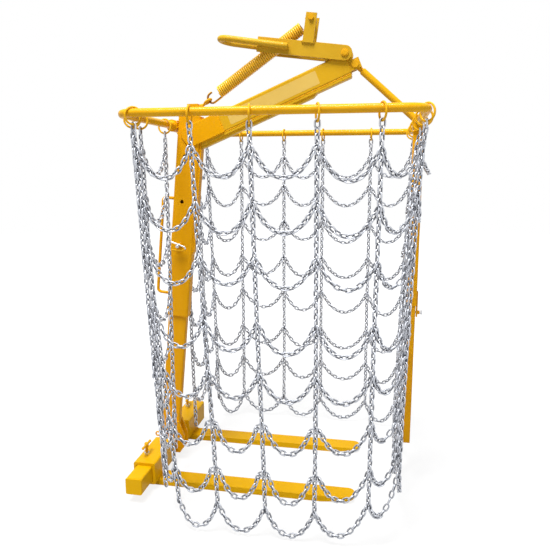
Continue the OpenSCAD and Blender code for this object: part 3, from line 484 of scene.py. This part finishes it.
# ---- Boom ----
# A 100 by 60 mm tube that slopes up from the mast's head, with two strips of flat under it, cheek
# plates over the mast's sides, and a nose of two plates with bosses for the lever and the tie rod.
SLOPE = radians(22.8)
BOOM_H, BOOM_W, BOOM_LONG = 100, 60, 868
DOUBLER2_LONG, CHEEK_FRONT, ROOT_DOWN = 680, 184, 101
BOOM_EDGE, DOUBLER_EDGE = 1.4, 2.4
ROOT = on_mast(OUTER_END - ROOT_DOWN)


def on_boom(a, b=0.0, y=0.0):
    """A point a along the boom's middle line and b above it."""
    return ROOT + [a * cos(SLOPE) - b * sin(SLOPE), y, a * sin(SLOPE) + b * cos(SLOPE)]


# A darker copy of the frame's enamel for the boom, its strips and its nose: painted shade for the shade under the boom.
finishes["frame_paint_dull"] = enamel("boom_shaded_enamel", (0.65, 0.365, 0.012), (0.58, 0.31, 0.008), 0.36)
for node in ("mast_head", "boom", "boom_doublers", "boom_cheeks", "boom_nose", "hoop_sleeve"):
    piece = rounded(node, "frame_paint", "frame", DOUBLER_EDGE if node == "boom_doublers" else BOOM_EDGE)
    if node in ("boom", "boom_doublers", "boom_nose"):
        piece.data.materials[0] = finishes["frame_paint_dull"]

# Beads round each cheek plate, at its front, top, underside and back, then along the two strips and at the nose.
for s in (-1, 1):
    face = s * (MAST_D / 2 + 1)
    frame_welds += [
        weld([on_boom(CHEEK_FRONT, -48, face), on_boom(CHEEK_FRONT, 48, face)], 4.2),
        weld([on_boom(0, 50, face), on_boom(CHEEK_FRONT - 2, 50, face)], 2.6),
        weld([on_boom(12, -50, face), on_boom(CHEEK_FRONT - 2, -50, face)], 3.0),
        weld([on_boom(-12, 50, face), on_boom(-30, 16, face), on_mast(OUTER_END - 150, 10, face)], 2.6),
        weld([on_boom(70, -51, s * 26), on_boom(BOOM_LONG - 8, -51, s * 26)], 3.4),
        weld([on_boom(90, -67, s * 21), on_boom(DOUBLER2_LONG - 4, -67, s * 21)], 3.2),
        weld([on_boom(BOOM_LONG - 1, -40, s * 25), on_boom(BOOM_LONG - 1, 26, s * 25)], 3.0)]

# The film along the boom's near side, which carries lettering on the real fork, is bare here.
FILM_START, FILM_END, FILM_HALF, FILM_CORNER, FILM_IN, FILM_OUT = 232, 712, 32, 5, 0.2, 0.35
finishes["frame_paint_film"] = enamel("label_film", (0.70, 0.47, 0.11), (0.66, 0.42, 0.08), 0.42, 0.05)
film_seam = (FILM_START + 8, 0, -FILM_HALF)
film_corners = arc_path([film_seam, (FILM_END, 0, -FILM_HALF), (FILM_END, 0, FILM_HALF), (FILM_START, 0, FILM_HALF),
                         (FILM_START, 0, -FILM_HALF), film_seam], FILM_CORNER, 5)[:-1]
film_mesh = bmesh.new()
back, front = ([film_mesh.verts.new(at(*on_boom(a, b, y - BOOM_W / 2))) for a, _, b in film_corners]
               for y in (FILM_IN, -FILM_OUT))
for film_face in [*zip(back, back[1:] + back[:1], front[1:] + front[:1], front), front, back[::-1]]:
    film_mesh.faces.new(film_face)
bmesh.ops.recalc_face_normals(film_mesh, faces=film_mesh.faces)
label = as_piece("boom_label_film", film_mesh)
label.data.polygons.foreach_set("use_smooth", np.zeros(len(label.data.polygons), bool))
finished(label, "frame_paint", "frame")
label.data.materials[0] = finishes["frame_paint_film"]

# ---- Lever and lifting loop ----
# Two flat plates turn on a pin at the boom's nose and rest on it through a round bar. The crane's
# hook lifts a 30 mm bar bent to a U, whose legs are welded along the outer faces of the plates.
RISE = radians(7.5)
LEVER_LONG, LEVER_T, LEVER_GAP = 425, 10, 68
LOOP_D, LOOP_REACH, LOOP_LAP, LOOP_TILT = 30, 636, 150, radians(1.6)
BOLT_UP, BOLT_BACK = 140, 180
LEVER_EDGE, PIN_EDGE = 1.6, 1.2
LEG_WELD, BRACKET_WELD, INNER_WELD = 4.4, 5.0, 3.4
PIVOT = on_boom(BOOM_LONG + 3, BOOM_H / 2 - 4)
LEVER_OUT = LEVER_GAP / 2 + LEVER_T


def on_lever(a, b=0.0, y=0.0):
    """A point a in front of the pivot along the lever, which runs back from it, and b above its middle line."""
    return PIVOT + [a * cos(RISE) + b * sin(RISE), y, -a * sin(RISE) + b * cos(RISE)]


for node in ("right_lever_plate", "left_lever_plate", "lever_stop", "spring_bracket"):
    rounded(node, "lever_paint", "lever", LEVER_EDGE)
for node in ("pivot_pin", "spring_bolt"):
    rounded(node, "pin_paint", "lever", PIN_EDGE)

# The loop in plan: a leg, a half turn and the other leg. It tilts down from the end of its welded lap.
loop_y = LEVER_OUT + LOOP_D / 2
weld_end = LOOP_LAP - LEVER_LONG
bend_a = -LOOP_REACH + LOOP_D / 2 + loop_y
leg = np.linspace(weld_end, bend_a, 12)
turn = np.linspace(pi / 2, 3 * pi / 2, 40)[1:-1]
plan = np.concatenate([np.stack([leg, 0 * leg + loop_y], -1),
                       np.stack([bend_a + loop_y * np.cos(turn), loop_y * np.sin(turn)], -1),
                       np.stack([leg[::-1], 0 * leg - loop_y], -1)])
back = plan[:, 0] - weld_end
loop_path = np.array([on_lever(weld_end + a * cos(LOOP_TILT), -a * sin(LOOP_TILT), y)
                      for a, y in zip(back, plan[:, 1])])
joined("lifting_loop_bar", [swept(loop_path, LOOP_D / 2, (sin(RISE), 0, cos(RISE)), 28)], "lever_paint", "lever",
       "lifting_loop")

lever_welds = []
for s in (-1, 1):
    out, leg_out, inside = s * (LEVER_OUT + 1), s * (LEVER_OUT + 1.5), s * (LEVER_OUT - 1)
    lever_welds += [weld([on_lever(a, b, leg_out) for a in (2 - LEVER_LONG, weld_end - 4)], LEG_WELD)
                    for b in (-12.5, 12.5)]
    lever_welds += [weld([on_lever(a - BOLT_BACK, b, out) for a, b in ((-28, 35), (-27, 26), (27, 26), (28, 35))],
                         BRACKET_WELD),
                    weld([on_lever(a - BOLT_BACK, 36, inside) for a in (-26, 26)], INNER_WELD, UP)]
joined("lever_welds", lever_welds, "lever_paint", "lever")

# ---- Balancing spring ----
# A close-wound tension spring of 10.6 mm wire holds the lever down. Its end loops hook round the bolt
# of the lever's bracket and through an eye bolt screwed into the block on the mast's head.
COIL_D, WIRE_D, HEAD_BOSS = 60, 10.6, 11
EYE_ROD, EYE_IN, BOLT_D = 14, 22, 16
BOLT = on_lever(-BOLT_BACK, BOLT_UP)
EYE_AHEAD, EYE_ABOVE, HEAD_AHEAD, HEAD_LONG = 104, 88, 14, 56
EYE = on_mast(OUTER_END) + [EYE_AHEAD, 0, EYE_ABOVE]
SPRING_LONG = float(np.linalg.norm(BOLT - EYE))
SPRING_AXIS = (BOLT - EYE) / SPRING_LONG
SPRING_UP = np.array([-SPRING_AXIS[2], 0, SPRING_AXIS[0]])
COIL_R = (COIL_D - WIRE_D) / 2
COIL_PITCH, SPRING_LEAD = 10.9, 50
TURNS = int((SPRING_LONG - 2 * SPRING_LEAD) / COIL_PITCH)
COIL_START = (SPRING_LONG - TURNS * COIL_PITCH) / 2
HEAD_FACE = (EYE[0] - (on_mast(OUTER_END)[0] + HEAD_AHEAD) - HEAD_LONG / 2) / SPRING_AXIS[0]
# The painted shade in the grooves between the coils, and the coils' colour on their backs.
GROOVE_SHADE, COIL_BACK = (0.26, 0.10, 0.003), (0.84, 0.48, 0.018)


def on_spring(a, y, b):
    """Points a along the spring's axis from the eye, y across, and b above the axis."""
    return EYE + np.multiply.outer(a, SPRING_AXIS) + np.multiply.outer(y, LEFT) + np.multiply.outer(b, SPRING_UP)


def wound_enamel(name):
    """The enamel of the spring, with painted shade deeper in the grooves between the coils."""
    here, material = new_finish(name)
    groove = here.add("ShaderNodeAttribute", {"attribute_name": "wear_and_shade"}, 2)
    fine = here.noise(90, 3, 0.6)
    colour = groove.between(0.10, 0.80).blend(rgba(GROOVE_SHADE), rgba(COIL_BACK))
    base = (0.3 * here.noise(16, 2).between(0.4, 0.7)).blend(colour, rgba(ENAMEL_DEEP))
    bump = here.add("ShaderNodeBump", Strength=0.08, Distance=0.001, Height=fine)
    feed(material, Base_Color=base, Roughness=0.30 + 0.15 * fine, Normal=bump, Coat_Weight=0.2, Coat_Roughness=0.12,
         Specular_IOR_Level=0.3)
    return material


finishes["spring_paint"] = wound_enamel("spring_enamel")
STEPS = 20
t = np.arange(TURNS * STEPS + 1) / STEPS
angle = 2 * pi * t + pi
coil_path = on_spring(COIL_START + WIRE_D / 2 + t * COIL_PITCH * (TURNS - 1) / TURNS,
                      COIL_R * np.sin(angle), COIL_R * np.cos(angle))


def outside(points):
    """How far out from the spring's axis a point is, from 0 in the grooves to 1 on the coils' backs."""
    rel = points - np.array([TINE_ROOT, 0, 0]) - EYE / 1000
    off = rel - np.outer(rel @ SPRING_AXIS, SPRING_AXIS)
    return np.clip((np.linalg.norm(off, axis=1) * 1000 - COIL_R) / (WIRE_D / 2), 0, 1)


coil = joined("spring_coil", [swept(coil_path, WIRE_D / 2 - 0.02, SPRING_AXIS, 14)], "spring_paint",
              node="balance_spring", wear_and_shade=outside)
coil_ends = [at(*on_spring(a, 0, 0)) for a in (COIL_START, SPRING_LONG - COIL_START)]
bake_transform(coil)


# An end loop's open tip, how far before the coil its bend starts, the bend's radius, and the loop's lap on the coil.
HOOK_TIP, BEND_BACK, BEND_R, LAP_FROM, LAP_LONG = 12, 5, 9, 0.36, 0.9


def hook_path(hold_d):
    """An end loop: the open tip, a half turn round what it hangs on, a straight leg to the coil's underside, and a
    quarter bend into the first turn."""
    middle = COIL_R - ((hold_d + WIRE_D) / 2 + SEAT)
    half = np.linspace(pi / 2, 3 * pi / 2, 26)
    leg = np.linspace(middle + 4, COIL_START - BEND_BACK, 8)
    into = np.linspace(0, pi / 2, 7)[1:]
    lap = np.linspace(0, LAP_LONG, 8)[1:]
    a = np.concatenate([[middle + HOOK_TIP, middle + HOOK_TIP / 2], middle + COIL_R * np.cos(half), leg,
                        COIL_START - BEND_BACK + BEND_R * np.sin(into), 0 * lap + COIL_START - BEND_BACK + BEND_R])
    y = np.concatenate([[0, 0], 0 * half, 0 * leg, BEND_R * (1 - np.cos(into)), COIL_R * np.sin(lap + LAP_FROM)])
    b = np.concatenate([[COIL_R, COIL_R], COIL_R * np.sin(half), 0 * leg - COIL_R,
                        -COIL_R + 0.9 * (1 - np.cos(into)), -COIL_R * np.cos(lap + LAP_FROM)])
    return a, y, b


for end_name, hold_d, body in (("lower", EYE_ROD, "spring_anchor"), ("upper", BOLT_D, "spring_head")):
    a, y, b = hook_path(hold_d)
    line = on_spring(a, -y, b) if end_name == "lower" else on_spring(SPRING_LONG - a, y, b)
    joined(f"spring_{end_name}_loop", [swept(line, WIRE_D / 2, (0, 1, 0.02), 14)], "spring_paint", body,
           f"spring_{end_name}_hook", outside)

# The eye bolt: a ring of rod, its threaded shank through the head block, and a hex nut behind the block.
EYE_NUT_H, EYE_NUT_R, NUT_BEVEL = 12, EYE_ROD * 0.78, 0.90
eye_r = (EYE_IN + EYE_ROD) / 2
turn = np.linspace(0, 2 * pi, 40, endpoint=False)
nut_at = HEAD_FACE - HEAD_BOSS - SEAT
hexagon = np.abs(np.cos(((np.arange(24) / 24 * 2 * pi) % (pi / 3)) - pi / 6))
nut_rows = np.array([[NUT_BEVEL], [1.0], [1.0], [NUT_BEVEL]]) * EYE_NUT_R / hexagon[None]
nut_path = on_spring([h - nut_at for h in (0, 1.2, EYE_NUT_H - 1.2, EYE_NUT_H)], 0, 0)
shank = on_spring(np.linspace(-2 * eye_r - 17, -2 * eye_r + 4, 5), 0, 0)
joined("eye_bolt_bar", [
    swept(on_spring(eye_r * (np.cos(turn) - 1), eye_r * np.sin(turn), 0), EYE_ROD / 2, SPRING_UP, 16, True),
    thread(on_spring(-HEAD_FACE - 28, 0, 0), on_spring(-2 * eye_r - 16, 0, 0), EYE_ROD / 2, 2.0, 0.9),
    swept(shank, EYE_ROD / 2, LEFT), swept(nut_path, nut_rows, LEFT, 24)], "pin_paint", "frame", "eye_bolt")

# ---- Net frame ----
# A hoop of 35 mm round tube bent at four corners, carried by a sleeve on the mast's back and by a
# tie rod from the boom's nose, whose collar is welded up from two half shells.
HOOP_LONG, HOOP_WIDE, HOOP_D, HOOP_BEND, HOOP_Z = 1224, 1322, 35, 75, 1825
HOOP_SLEEVE_D, COLLAR_D, ROD_EDGE, SLEEVE_WELD, RUB_REACH = 60, 52, 1.2, 4.0, 0.016
HOOP_BACK = BAR_X + (HOOP_Z - BAR_Z) * tan(LEAN) - (MAST_W / 2 + HOOP_SLEEVE_D / 2 + SEAT) / cos(LEAN)
HOOP_FRONT = HOOP_BACK + HOOP_LONG

half_y = HOOP_WIDE / 2
bends = []
for i, corner in enumerate(((HOOP_FRONT, half_y), (HOOP_BACK, half_y), (HOOP_BACK, -half_y), (HOOP_FRONT, -half_y))):
    turn = np.radians(90 * i + np.linspace(0, 90, 13))
    middle = corner - HOOP_BEND * np.sign([corner[0] - HOOP_BACK - 1, corner[1]])
    bends.append(middle + HOOP_BEND * np.stack([np.cos(turn), np.sin(turn)], -1))
run = np.linspace(0, 1, 60)[1:-1, None]
plan = np.concatenate([rows for bend, following in zip(bends, bends[1:] + bends[:1])
                       for rows in (bend, bend[-1] * (1 - run) + following[0] * run)])
hoop_path = np.concatenate([plan, 0 * plan[:, :1] + HOOP_Z], 1)

RIGHT_RINGS = [HOOP_BACK + s * HOOP_LONG for s in (0.0597, 0.2517, 0.4494, 0.6667, 0.8653)]
LEFT_RINGS = [HOOP_BACK + s * HOOP_LONG for s in (0.1561, 0.3759, 0.5711, 0.8048)]
REAR_RINGS = [s * HOOP_WIDE for s in (-0.385, -0.322, -0.0983, 0.0983, 0.2648, 0.4236)]
FRONT_RINGS = [s * HOOP_WIDE for s in (-0.4508, -0.3026, -0.0983, 0.0983, 0.3026, 0.4508)]
hangers = ([(x, -half_y, 0) for x in RIGHT_RINGS] + [(x, half_y, 0) for x in LEFT_RINGS]
           + [(HOOP_BACK, y, 90) for y in REAR_RINGS] + [(HOOP_FRONT, y, 90) for y in FRONT_RINGS])


def rubbed(points):
    """Wear on the top of the hoop's tube, within RUB_REACH metres of each ring and a little beyond."""
    spots = np.array([at(x, y, HOOP_Z + HOOP_D / 2) for x, y, _ in hangers])
    near = np.linalg.norm(points[:, None] - spots[None], axis=2).min(1)
    return np.clip(1.3 - near / RUB_REACH, 0, 1)


joined("hoop_tube", [swept(hoop_path, HOOP_D / 2, UP, 28, True)], "tube_paint", "frame", "hoop", rubbed)
rounded("tie_rod", "tube_paint", "frame", ROD_EDGE)
rounded("tie_pin", "pin_paint", "frame", ROD_EDGE)
sleeve_face = on_mast((HOOP_Z - BAR_Z) / cos(LEAN), -MAST_W / 2)
frame_welds += [weld([sleeve_face + [0.5, y, z] for y in (-34, 34)], SLEEVE_WELD, AHEAD)
                for z in (-15, 15)]
# The domed ends of the hoop's sleeve: how far out from the middle each row is, and its radius.
DOME_Y, DOME_R = (30, 35.5, 38, 41, 44, 46.5), (25.4, 25.2, 24.4, 22.6, 20, 17.6)
frame_welds += [swept([(HOOP_BACK, s * y, HOOP_Z) for y in DOME_Y], DOME_R, UP, 28) for s in (-1, 1)]
joined("frame_welds", frame_welds, "frame_paint", "frame")

# ---- Front post ----
# Two square tubes that telescope. The outer one hangs on the hoop's front tube by two ears, and a
# hex screw in a welded nut clamps the inner one, which reaches down to the tines.
rounded("post_outer", "frame_paint", "post", MAST_EDGE)
rounded("post_inner", "frame_paint", "post_leg", 1.0)
rounded("post_clamp_screw", "zinc", "post_screw", 0.8, 0)
EAR_Z, EAR_OUT, EAR_WELD = HOOP_Z - COLLAR_D / 2 - 18, 25, 2.8
joined("post_welds", [weld([(HOOP_FRONT + f * EAR_OUT, y, EAR_Z) for y in (-30, 30)], EAR_WELD, UP)
                      for f in (-1, 1)], "frame_paint", "post")

# ---- Chain net ----
# Steel rings ride on the hoop. A slightly thicker link hangs in each and carries a column of 7.4 mm
# galvanised chain, and bays of the same chain hang between the columns in eight rows.
RING_OD, RING_BAR = 77, 9
LINK_WIRE, LINK_IN, LINK_WIDE = 8, 26, 27
CHAIN_WIRE, CHAIN_IN, CHAIN_WIDE = 7.4, 24.3, 25
NET_DROP, NET_PITCH, NET_ROWS, NET_SAG, NET_TAIL = 135, 220, 8, 122, 14
RING_R = (RING_OD - RING_BAR) / 2
RING_Z = HOOP_Z + HOOP_D / 2 + SEAT - RING_R + RING_BAR / 2
LINK_TOP = RING_Z - RING_R + RING_BAR / 2 + SEAT + LINK_WIRE
COLUMN_TOP = LINK_TOP - LINK_IN - 2 * LINK_WIRE - SEAT
NET_FIRST = HOOP_Z - NET_DROP
NET_LAST = NET_FIRST - (NET_ROWS - 1) * NET_PITCH
# How far each row is raised: on the near side at three shares of the hoop's length, and on the far side.
NEAR_SHARES = (0.667, 0.865, 1)
NEAR_SHIFT = np.array([[0, 0, 0, -55, -55, -64, -62, -9], [-15, -15, -12, -47, -35, -22, -7, 59],
                       [15, 53, 58, -17, 70, 101, 126, 211]])
FAR_SHIFT = np.array([-8, 38, 38, 35, 38, 17, 28, -10])
# A bay starts this far from its node, or this far and lower at a knot. The knots are in two rows.
KNOT, KNOT_OUT, KNOT_DOWN, KNOT_ROWS = 5, 21, 7, (5, 6)
# The front's middle bays clear the post's middle line by this much, over their sag less a spare length.
POST_CLEAR, SAG_SPARE = 38, 25
# The columns' links are turned towards this point of the plan, on the near side.
FACED = (1100, -2900)
# How far forward each column drifts on its way down.
RIGHT_DRIFT, REAR_DRIFT, FRONT_DRIFT = (136, 84, 55, 7, -12), (100, 70, 10, 30, 48, 48), (-56, -56, -64, 0, -48, -48)
# Seeded errors: the roll of a chain and of each link in radians, each link's place, its aim, and the columns' sway.
CHAIN_ROLL, LINK_ROLL, LINK_SHIFT, LINK_AIM, COLUMN_SWAY = 0.08, 0.10, 0.3, 0.025, 2.0
finishes["ring_paint"] = enamel("ring_enamel", (0.80, 0.43, 0.012), (0.62, 0.29, 0.006), 0.30)
finishes["galvanised"] = bare_metal("galvanised_chain", (0.63, 0.65, 0.70), 0.36, 300)
sway = np.random.default_rng(5)

# Rings on the near side are turned a little, and these two are turned by more.
NEAR_TURN, RING_GRIME = 14, 0.35
turned = {(RIGHT_RINGS[0], -half_y): -50, (HOOP_FRONT, FRONT_RINGS[0]): -42}
round_ = np.linspace(0, 2 * pi, 36, endpoint=False)[:, None]
ring_parts = []
for x, y, turn_deg in hangers:
    swing = NEAR_TURN * (y == -half_y) + sway.normal(0, 8)
    yaw = radians(turn_deg + turned.get((x, y), swing))
    flat = np.array([-sin(yaw), cos(yaw), 0])
    circle = RING_R * (np.sin(round_) * flat + np.cos(round_) * UP)
    ring_parts.append(swept([x, y, RING_Z] + circle, RING_BAR / 2, np.cross(flat, UP), 12, True))
joined("hoop_rings", ring_parts, "ring_paint", "frame", "net_rings",
       lambda points: np.full(len(points), RING_GRIME))


def link_shape(wire, inside, wide, around, sides):
    """One link about the origin, its length along X and its face in the XY plane: a round wire along a line of two
    half circles joined by straights."""
    bend = (wide - wire) / 2
    offset = (inside + wire) / 2 - bend
    turn = np.linspace(-pi / 2, pi / 2, around)
    half = np.concatenate([np.stack([offset + bend * np.cos(turn), bend * np.sin(turn), 0 * turn], -1),
                           [[0, bend + 0.25, 0]]])
    return swept(np.concatenate([half, -half]), wire / 2, UP, sides, True)


def placed(shape, middles, along, face):
    """Copies of a shape at many middles: its X axis goes along, and its Z axis is the link's face direction."""
    points, faces = shape
    along = unit(along)
    face = unit(face - (face * along).sum(-1, keepdims=True) * along)
    axes = np.stack([along, np.cross(face, along), face], 1)
    spread = middles[:, None] + np.einsum("pk,nkj->npj", points, axes)
    steps = np.arange(len(middles))[:, None, None] * len(points)
    return spread.reshape(-1, 3), (faces[None] + steps).reshape(-1, faces.shape[1])


link = link_shape(CHAIN_WIRE, CHAIN_IN, CHAIN_WIDE, 5, 6)
top_link = link_shape(LINK_WIRE, LINK_IN, LINK_WIDE, 7, 10)


def link_inner_shade(shape, wire, inside, wide):
    """A function for joined() that gives each point of many links its painted shade: most on the wire's inner side,
    where the links shade each other.
    """
    x, y, _ = shape[0].T
    bend = (wide - wire) / 2
    offset = (inside + wire) / 2 - bend
    line_x = np.clip(x, -offset, offset)
    off = np.hypot(x - line_x, y) - bend
    painted_shade = np.clip(0.45 - off / wire * 1.5, 0, 1)
    return lambda points: np.resize(painted_shade, len(points))


def chain(path, count, front):
    """Links along a smooth path: each one's middle is half way along its share of the path. The first is turned an
    eighth of a turn from the front direction, and each a quarter turn from the one before, with small seeded errors."""
    share = (np.arange(count) + 0.5) / count
    middles, along = path(share)
    across = unit(front - (along * front).sum(-1, keepdims=True) / (along * along).sum(-1, keepdims=True) * along)
    over = np.cross(unit(along), across)
    roll = pi / 4 + sway.normal(0, CHAIN_ROLL) + np.arange(count) * pi / 2 + sway.normal(0, LINK_ROLL, count)
    face = across * np.cos(roll)[:, None] + over * np.sin(roll)[:, None]
    middles = middles + sway.normal(0, LINK_SHIFT, middles.shape)
    return placed(link, middles, unit(along) + sway.normal(0, LINK_AIM, along.shape), face)


def node_at(column, z):
    """The points of a column at heights: it drifts evenly from its ring down to the last row, and in the near half
    of the front it drifts most near the top."""
    x, y, dx, dy = column
    share = np.clip((COLUMN_TOP - z) / (COLUMN_TOP - NET_LAST), 0, None) ** (0.5 if x == HOOP_FRONT and y < 0 else 1)
    return np.stack([x + dx * share, y + dy * share, z], -1)


def column_chain(column):
    """A column from its first link down past its last node: nearly plumb, with a slow sway of a few millimetres. Its
    links lie a little flat to the fork's near side."""
    top, foot = COLUMN_TOP + 6, row_node(column, NET_ROWS - 1)[2] - NET_TAIL
    phase = sway.uniform(0, 2 * pi, 2)

    def path(share):
        line = node_at(column, top + (foot - top) * share)
        line[:, 0] += COLUMN_SWAY * np.sin(7 * share + phase[0]) * share
        line[:, 1] += COLUMN_SWAY * np.sin(9 * share + phase[1]) * share
        return line, np.gradient(line, axis=0)

    turn = atan2(FACED[1] - column[1], FACED[0] - column[0])
    return chain(path, round((top - foot) / CHAIN_IN), np.array([cos(turn), sin(turn), 0]))


def catenary_scale(half, sag):
    """The scale a of a catenary of that half span and sag, where a * (cosh(half / a) - 1) = sag, by halving."""
    low, high = half / 20, half * 20
    for _ in range(60):
        middle = (low + high) / 2
        if middle * (np.cosh(half / middle) - 1) > sag:
            low = middle
        else:
            high = middle
    return middle


def row_node(column, row):
    """A column's node in a row. The rows hang a little lower on the near side and a little higher on the far one, and
    rise towards the near front corner."""
    far = 0.5 + column[1] / HOOP_WIDE
    near_shift = np.interp((column[0] - HOOP_BACK) / HOOP_LONG, NEAR_SHARES, NEAR_SHIFT[:, row])
    shift = (1 - far) * near_shift + far * FAR_SHIFT[row]
    return node_at(column, NET_FIRST - row * NET_PITCH + shift)


def bay_tilt(one, other, row):
    """How far a bay is tilted off plumb, in radians. In the middle of the front, the top bay passes in front of the
    post and the others behind it: the sine is the way still to go, over the sag less the spare."""
    if one not in front_columns or one[1] * other[1] > 0:
        return 0
    way = 1 if row == 0 else -1
    middle_x = (row_node(one, row)[0] + row_node(other, row)[0]) / 2
    return way * asin(max(POST_CLEAR - way * (middle_x - HOOP_FRONT), 0) / (NET_SAG - SAG_SPARE))


def bay_chain(one, other, row):
    """A bay: a catenary between two nodes, and at a knotted node a link that lies out from it. From its lowest point,
    a length u of chain is a * asinh(u / a) out and sqrt(a * a + u * u) - a up."""
    p, q = row_node(one, row), row_node(other, row)
    span = unit(q - p)
    tied = [row in KNOT_ROWS and column in knotted_columns for column in (one, other)]
    knots = [(node, way) for node, way, is_tied in ((p, span, tied[0]), (q, -span, tied[1])) if is_tied]
    p = p + (span * KNOT_OUT - [0, 0, KNOT_DOWN] if tied[0] else span * KNOT)
    q = q - (span * KNOT_OUT + [0, 0, KNOT_DOWN] if tied[1] else span * KNOT)
    half = np.linalg.norm(q - p) / 2
    sag = NET_SAG * (1 + sway.uniform(-0.09, 0.04))
    a = catenary_scale(half, sag)
    reach = a * np.sinh(half / a)
    out = np.cross(span, UP)
    lean = bay_tilt(one, other, row) + sway.normal(0, 0.05)
    down = np.array([0, 0, -1]) * cos(lean) + out * sin(lean)

    def path(share):
        u = (share * 2 - 1) * reach
        fall = sag - (np.sqrt(a * a + u * u) - a)
        line = (p + q) / 2 + np.outer(a * np.arcsinh(u / a), span) + np.outer(fall, down)
        return line, np.outer(np.full(len(u), a), span) - np.outer(u, down)

    bay = [chain(path, round(2 * reach / CHAIN_IN), np.cross(span, down))]
    if knots:
        middles = np.array([node + way * KNOT_OUT / 2 - [0, 0, 3] for node, way in knots])
        along = np.array([way - [0, 0, 0.5] for _, way in knots])
        bay.append(placed(link, middles, along, np.array([[0.3, -0.8, 0.5]] * len(knots))))
    return bay


right_columns = [(x, -half_y, dx, 12) for x, dx in zip(RIGHT_RINGS, RIGHT_DRIFT)]
left_columns = [(x, half_y, 6, -12) for x in LEFT_RINGS]
knotted_columns = right_columns[1:4]
rear_columns = [(HOOP_BACK, y, dx, -16 if y < 0 else 8) for y, dx in zip(REAR_RINGS, REAR_DRIFT)]
front_columns = [(HOOP_FRONT, y, dx, 0) for y, dx in zip(FRONT_RINGS, FRONT_DRIFT)]


def neighbours(columns):
    return list(zip(columns, columns[1:]))


# Each side's own columns, the pairs that its bays join, and its rows of bays.
net_sides = {
    "net_right": (right_columns, neighbours(right_columns) + [(right_columns[4], front_columns[0])], NET_ROWS),
    "net_left": (left_columns, neighbours(left_columns) + [(left_columns[3], front_columns[5]),
                                                           (left_columns[0], rear_columns[5])], NET_ROWS),
    "net_rear": (rear_columns, [(rear_columns[0], right_columns[0])]
                 + [neighbours(rear_columns)[i] for i in (0, 1, 3, 4)], NET_ROWS - 1),
    "net_front": (front_columns, neighbours(front_columns), NET_ROWS)}
# Painted shade on the inner side of each link's wire, where the links shade each other.
chain_inner_shade = link_inner_shade(link, CHAIN_WIRE, CHAIN_IN, CHAIN_WIDE)
for side_name, (columns, pairs, rows) in net_sides.items():
    parts = [column_chain(column) for column in columns]
    for one, other in pairs:
        for row in range(rows):
            parts += bay_chain(one, other, row)
    joined(side_name + "_chain", parts, "galvanised", "frame", side_name, chain_inner_shade)

middles = np.array([[x, y, LINK_TOP - LINK_WIRE / 2 - (LINK_IN + LINK_WIRE) / 2] for x, y, _ in hangers])
yaws = [radians(turn_deg) + more for (_, _, turn_deg), more in zip(hangers, sway.normal(0, 0.15, len(hangers)))]
face = np.array([[-sin(yaw), cos(yaw), 0] for yaw in yaws])
joined("ring_links", [placed(top_link, middles, np.tile([0, 0, -1.0], (len(middles), 1)), face)], "galvanised",
       "frame", "net_top_links", link_inner_shade(top_link, LINK_WIRE, LINK_IN, LINK_WIDE))

# ---- Floor and light ----
# A pale studio floor that fades into a white backdrop, one large soft lamp high on the near side,
# behind the mast, and a weak one low in front. The world is white to rays that see it and grey as light.
FLOOR_R, FADE_FROM, FADE_TO, GLOW, AMBIENT = 14, 0.9, 2.6, 1.2, 0.27


def ray_kinds(tree, *kinds):
    """A wire for each kind of ray, which is 1 for rays of that kind and 0 for others."""
    outputs = tree.nodes.new("ShaderNodeLightPath").outputs
    return [Wire(tree, outputs[f"Is {kind} Ray"]) for kind in kinds]


bpy.ops.mesh.primitive_circle_add(vertices=96, radius=FLOOR_R, fill_type="NGON", location=(0, 0, -0.001))
floor = bpy.context.object
floor.name = "studio_floor"
here, floor_finish = new_finish("studio_floor")
tree = floor_finish.node_tree
direct, mirrored = ray_kinds(tree, "Camera", "Glossy")
away = 0.70 + 0.30 * here.add("ShaderNodeVectorMath", {"operation": "LENGTH"}, 1, _0=here).between(FADE_FROM, FADE_TO)
feed(floor_finish, Base_Color=(0.55, 0.55, 0.55, 1), Roughness=0.9)
glow = here.add("ShaderNodeEmission", Color=(1, 1, 1, 1), Strength=GLOW)
share = away.math("MAXIMUM", away * direct, away * mirrored)
mixed = here.add("ShaderNodeMixShader", _0=share, _1=Wire(tree, tree.nodes["Principled BSDF"].outputs[0]), _2=glow)
tree.links.new(mixed.socket, tree.nodes["Material Output"].inputs["Surface"])
floor.data.materials.append(floor_finish)

world = bpy.data.worlds.new("studio")
scene.world = world
world.use_nodes = True
tree = world.node_tree
direct, mirrored, passed = ray_kinds(tree, "Camera", "Glossy", "Transmission")
seen = direct.math("MAXIMUM", direct.math("MAXIMUM", direct, mirrored), passed)
tree.links.new((AMBIENT + (1 - AMBIENT) * seen).socket, tree.nodes["Background"].inputs["Strength"])
tree.nodes["Background"].inputs["Color"].default_value = (1, 1, 1, 1)


def soft_lamp(name, place, aim, size, power):
    lamp = bpy.data.lights.new(name, "AREA")
    lamp.size, lamp.energy = size, power
    obj = bpy.data.objects.new(name, lamp)
    obj.location = place
    obj.rotation_euler = (Vector(aim) - Vector(place)).to_track_quat("-Z", "Y").to_euler()
    scene.collection.objects.link(obj)


soft_lamp("key", place=(-1.2, -2.75, 9), aim=(0.1, 0.2, 0), size=4.0, power=1250)
soft_lamp("fill", place=(3.4, -3.4, 2.4), aim=(0, 0, 1.0), size=2.4, power=25)

scene.view_settings.view_transform = "Standard"
bpy.context.view_layer.update()
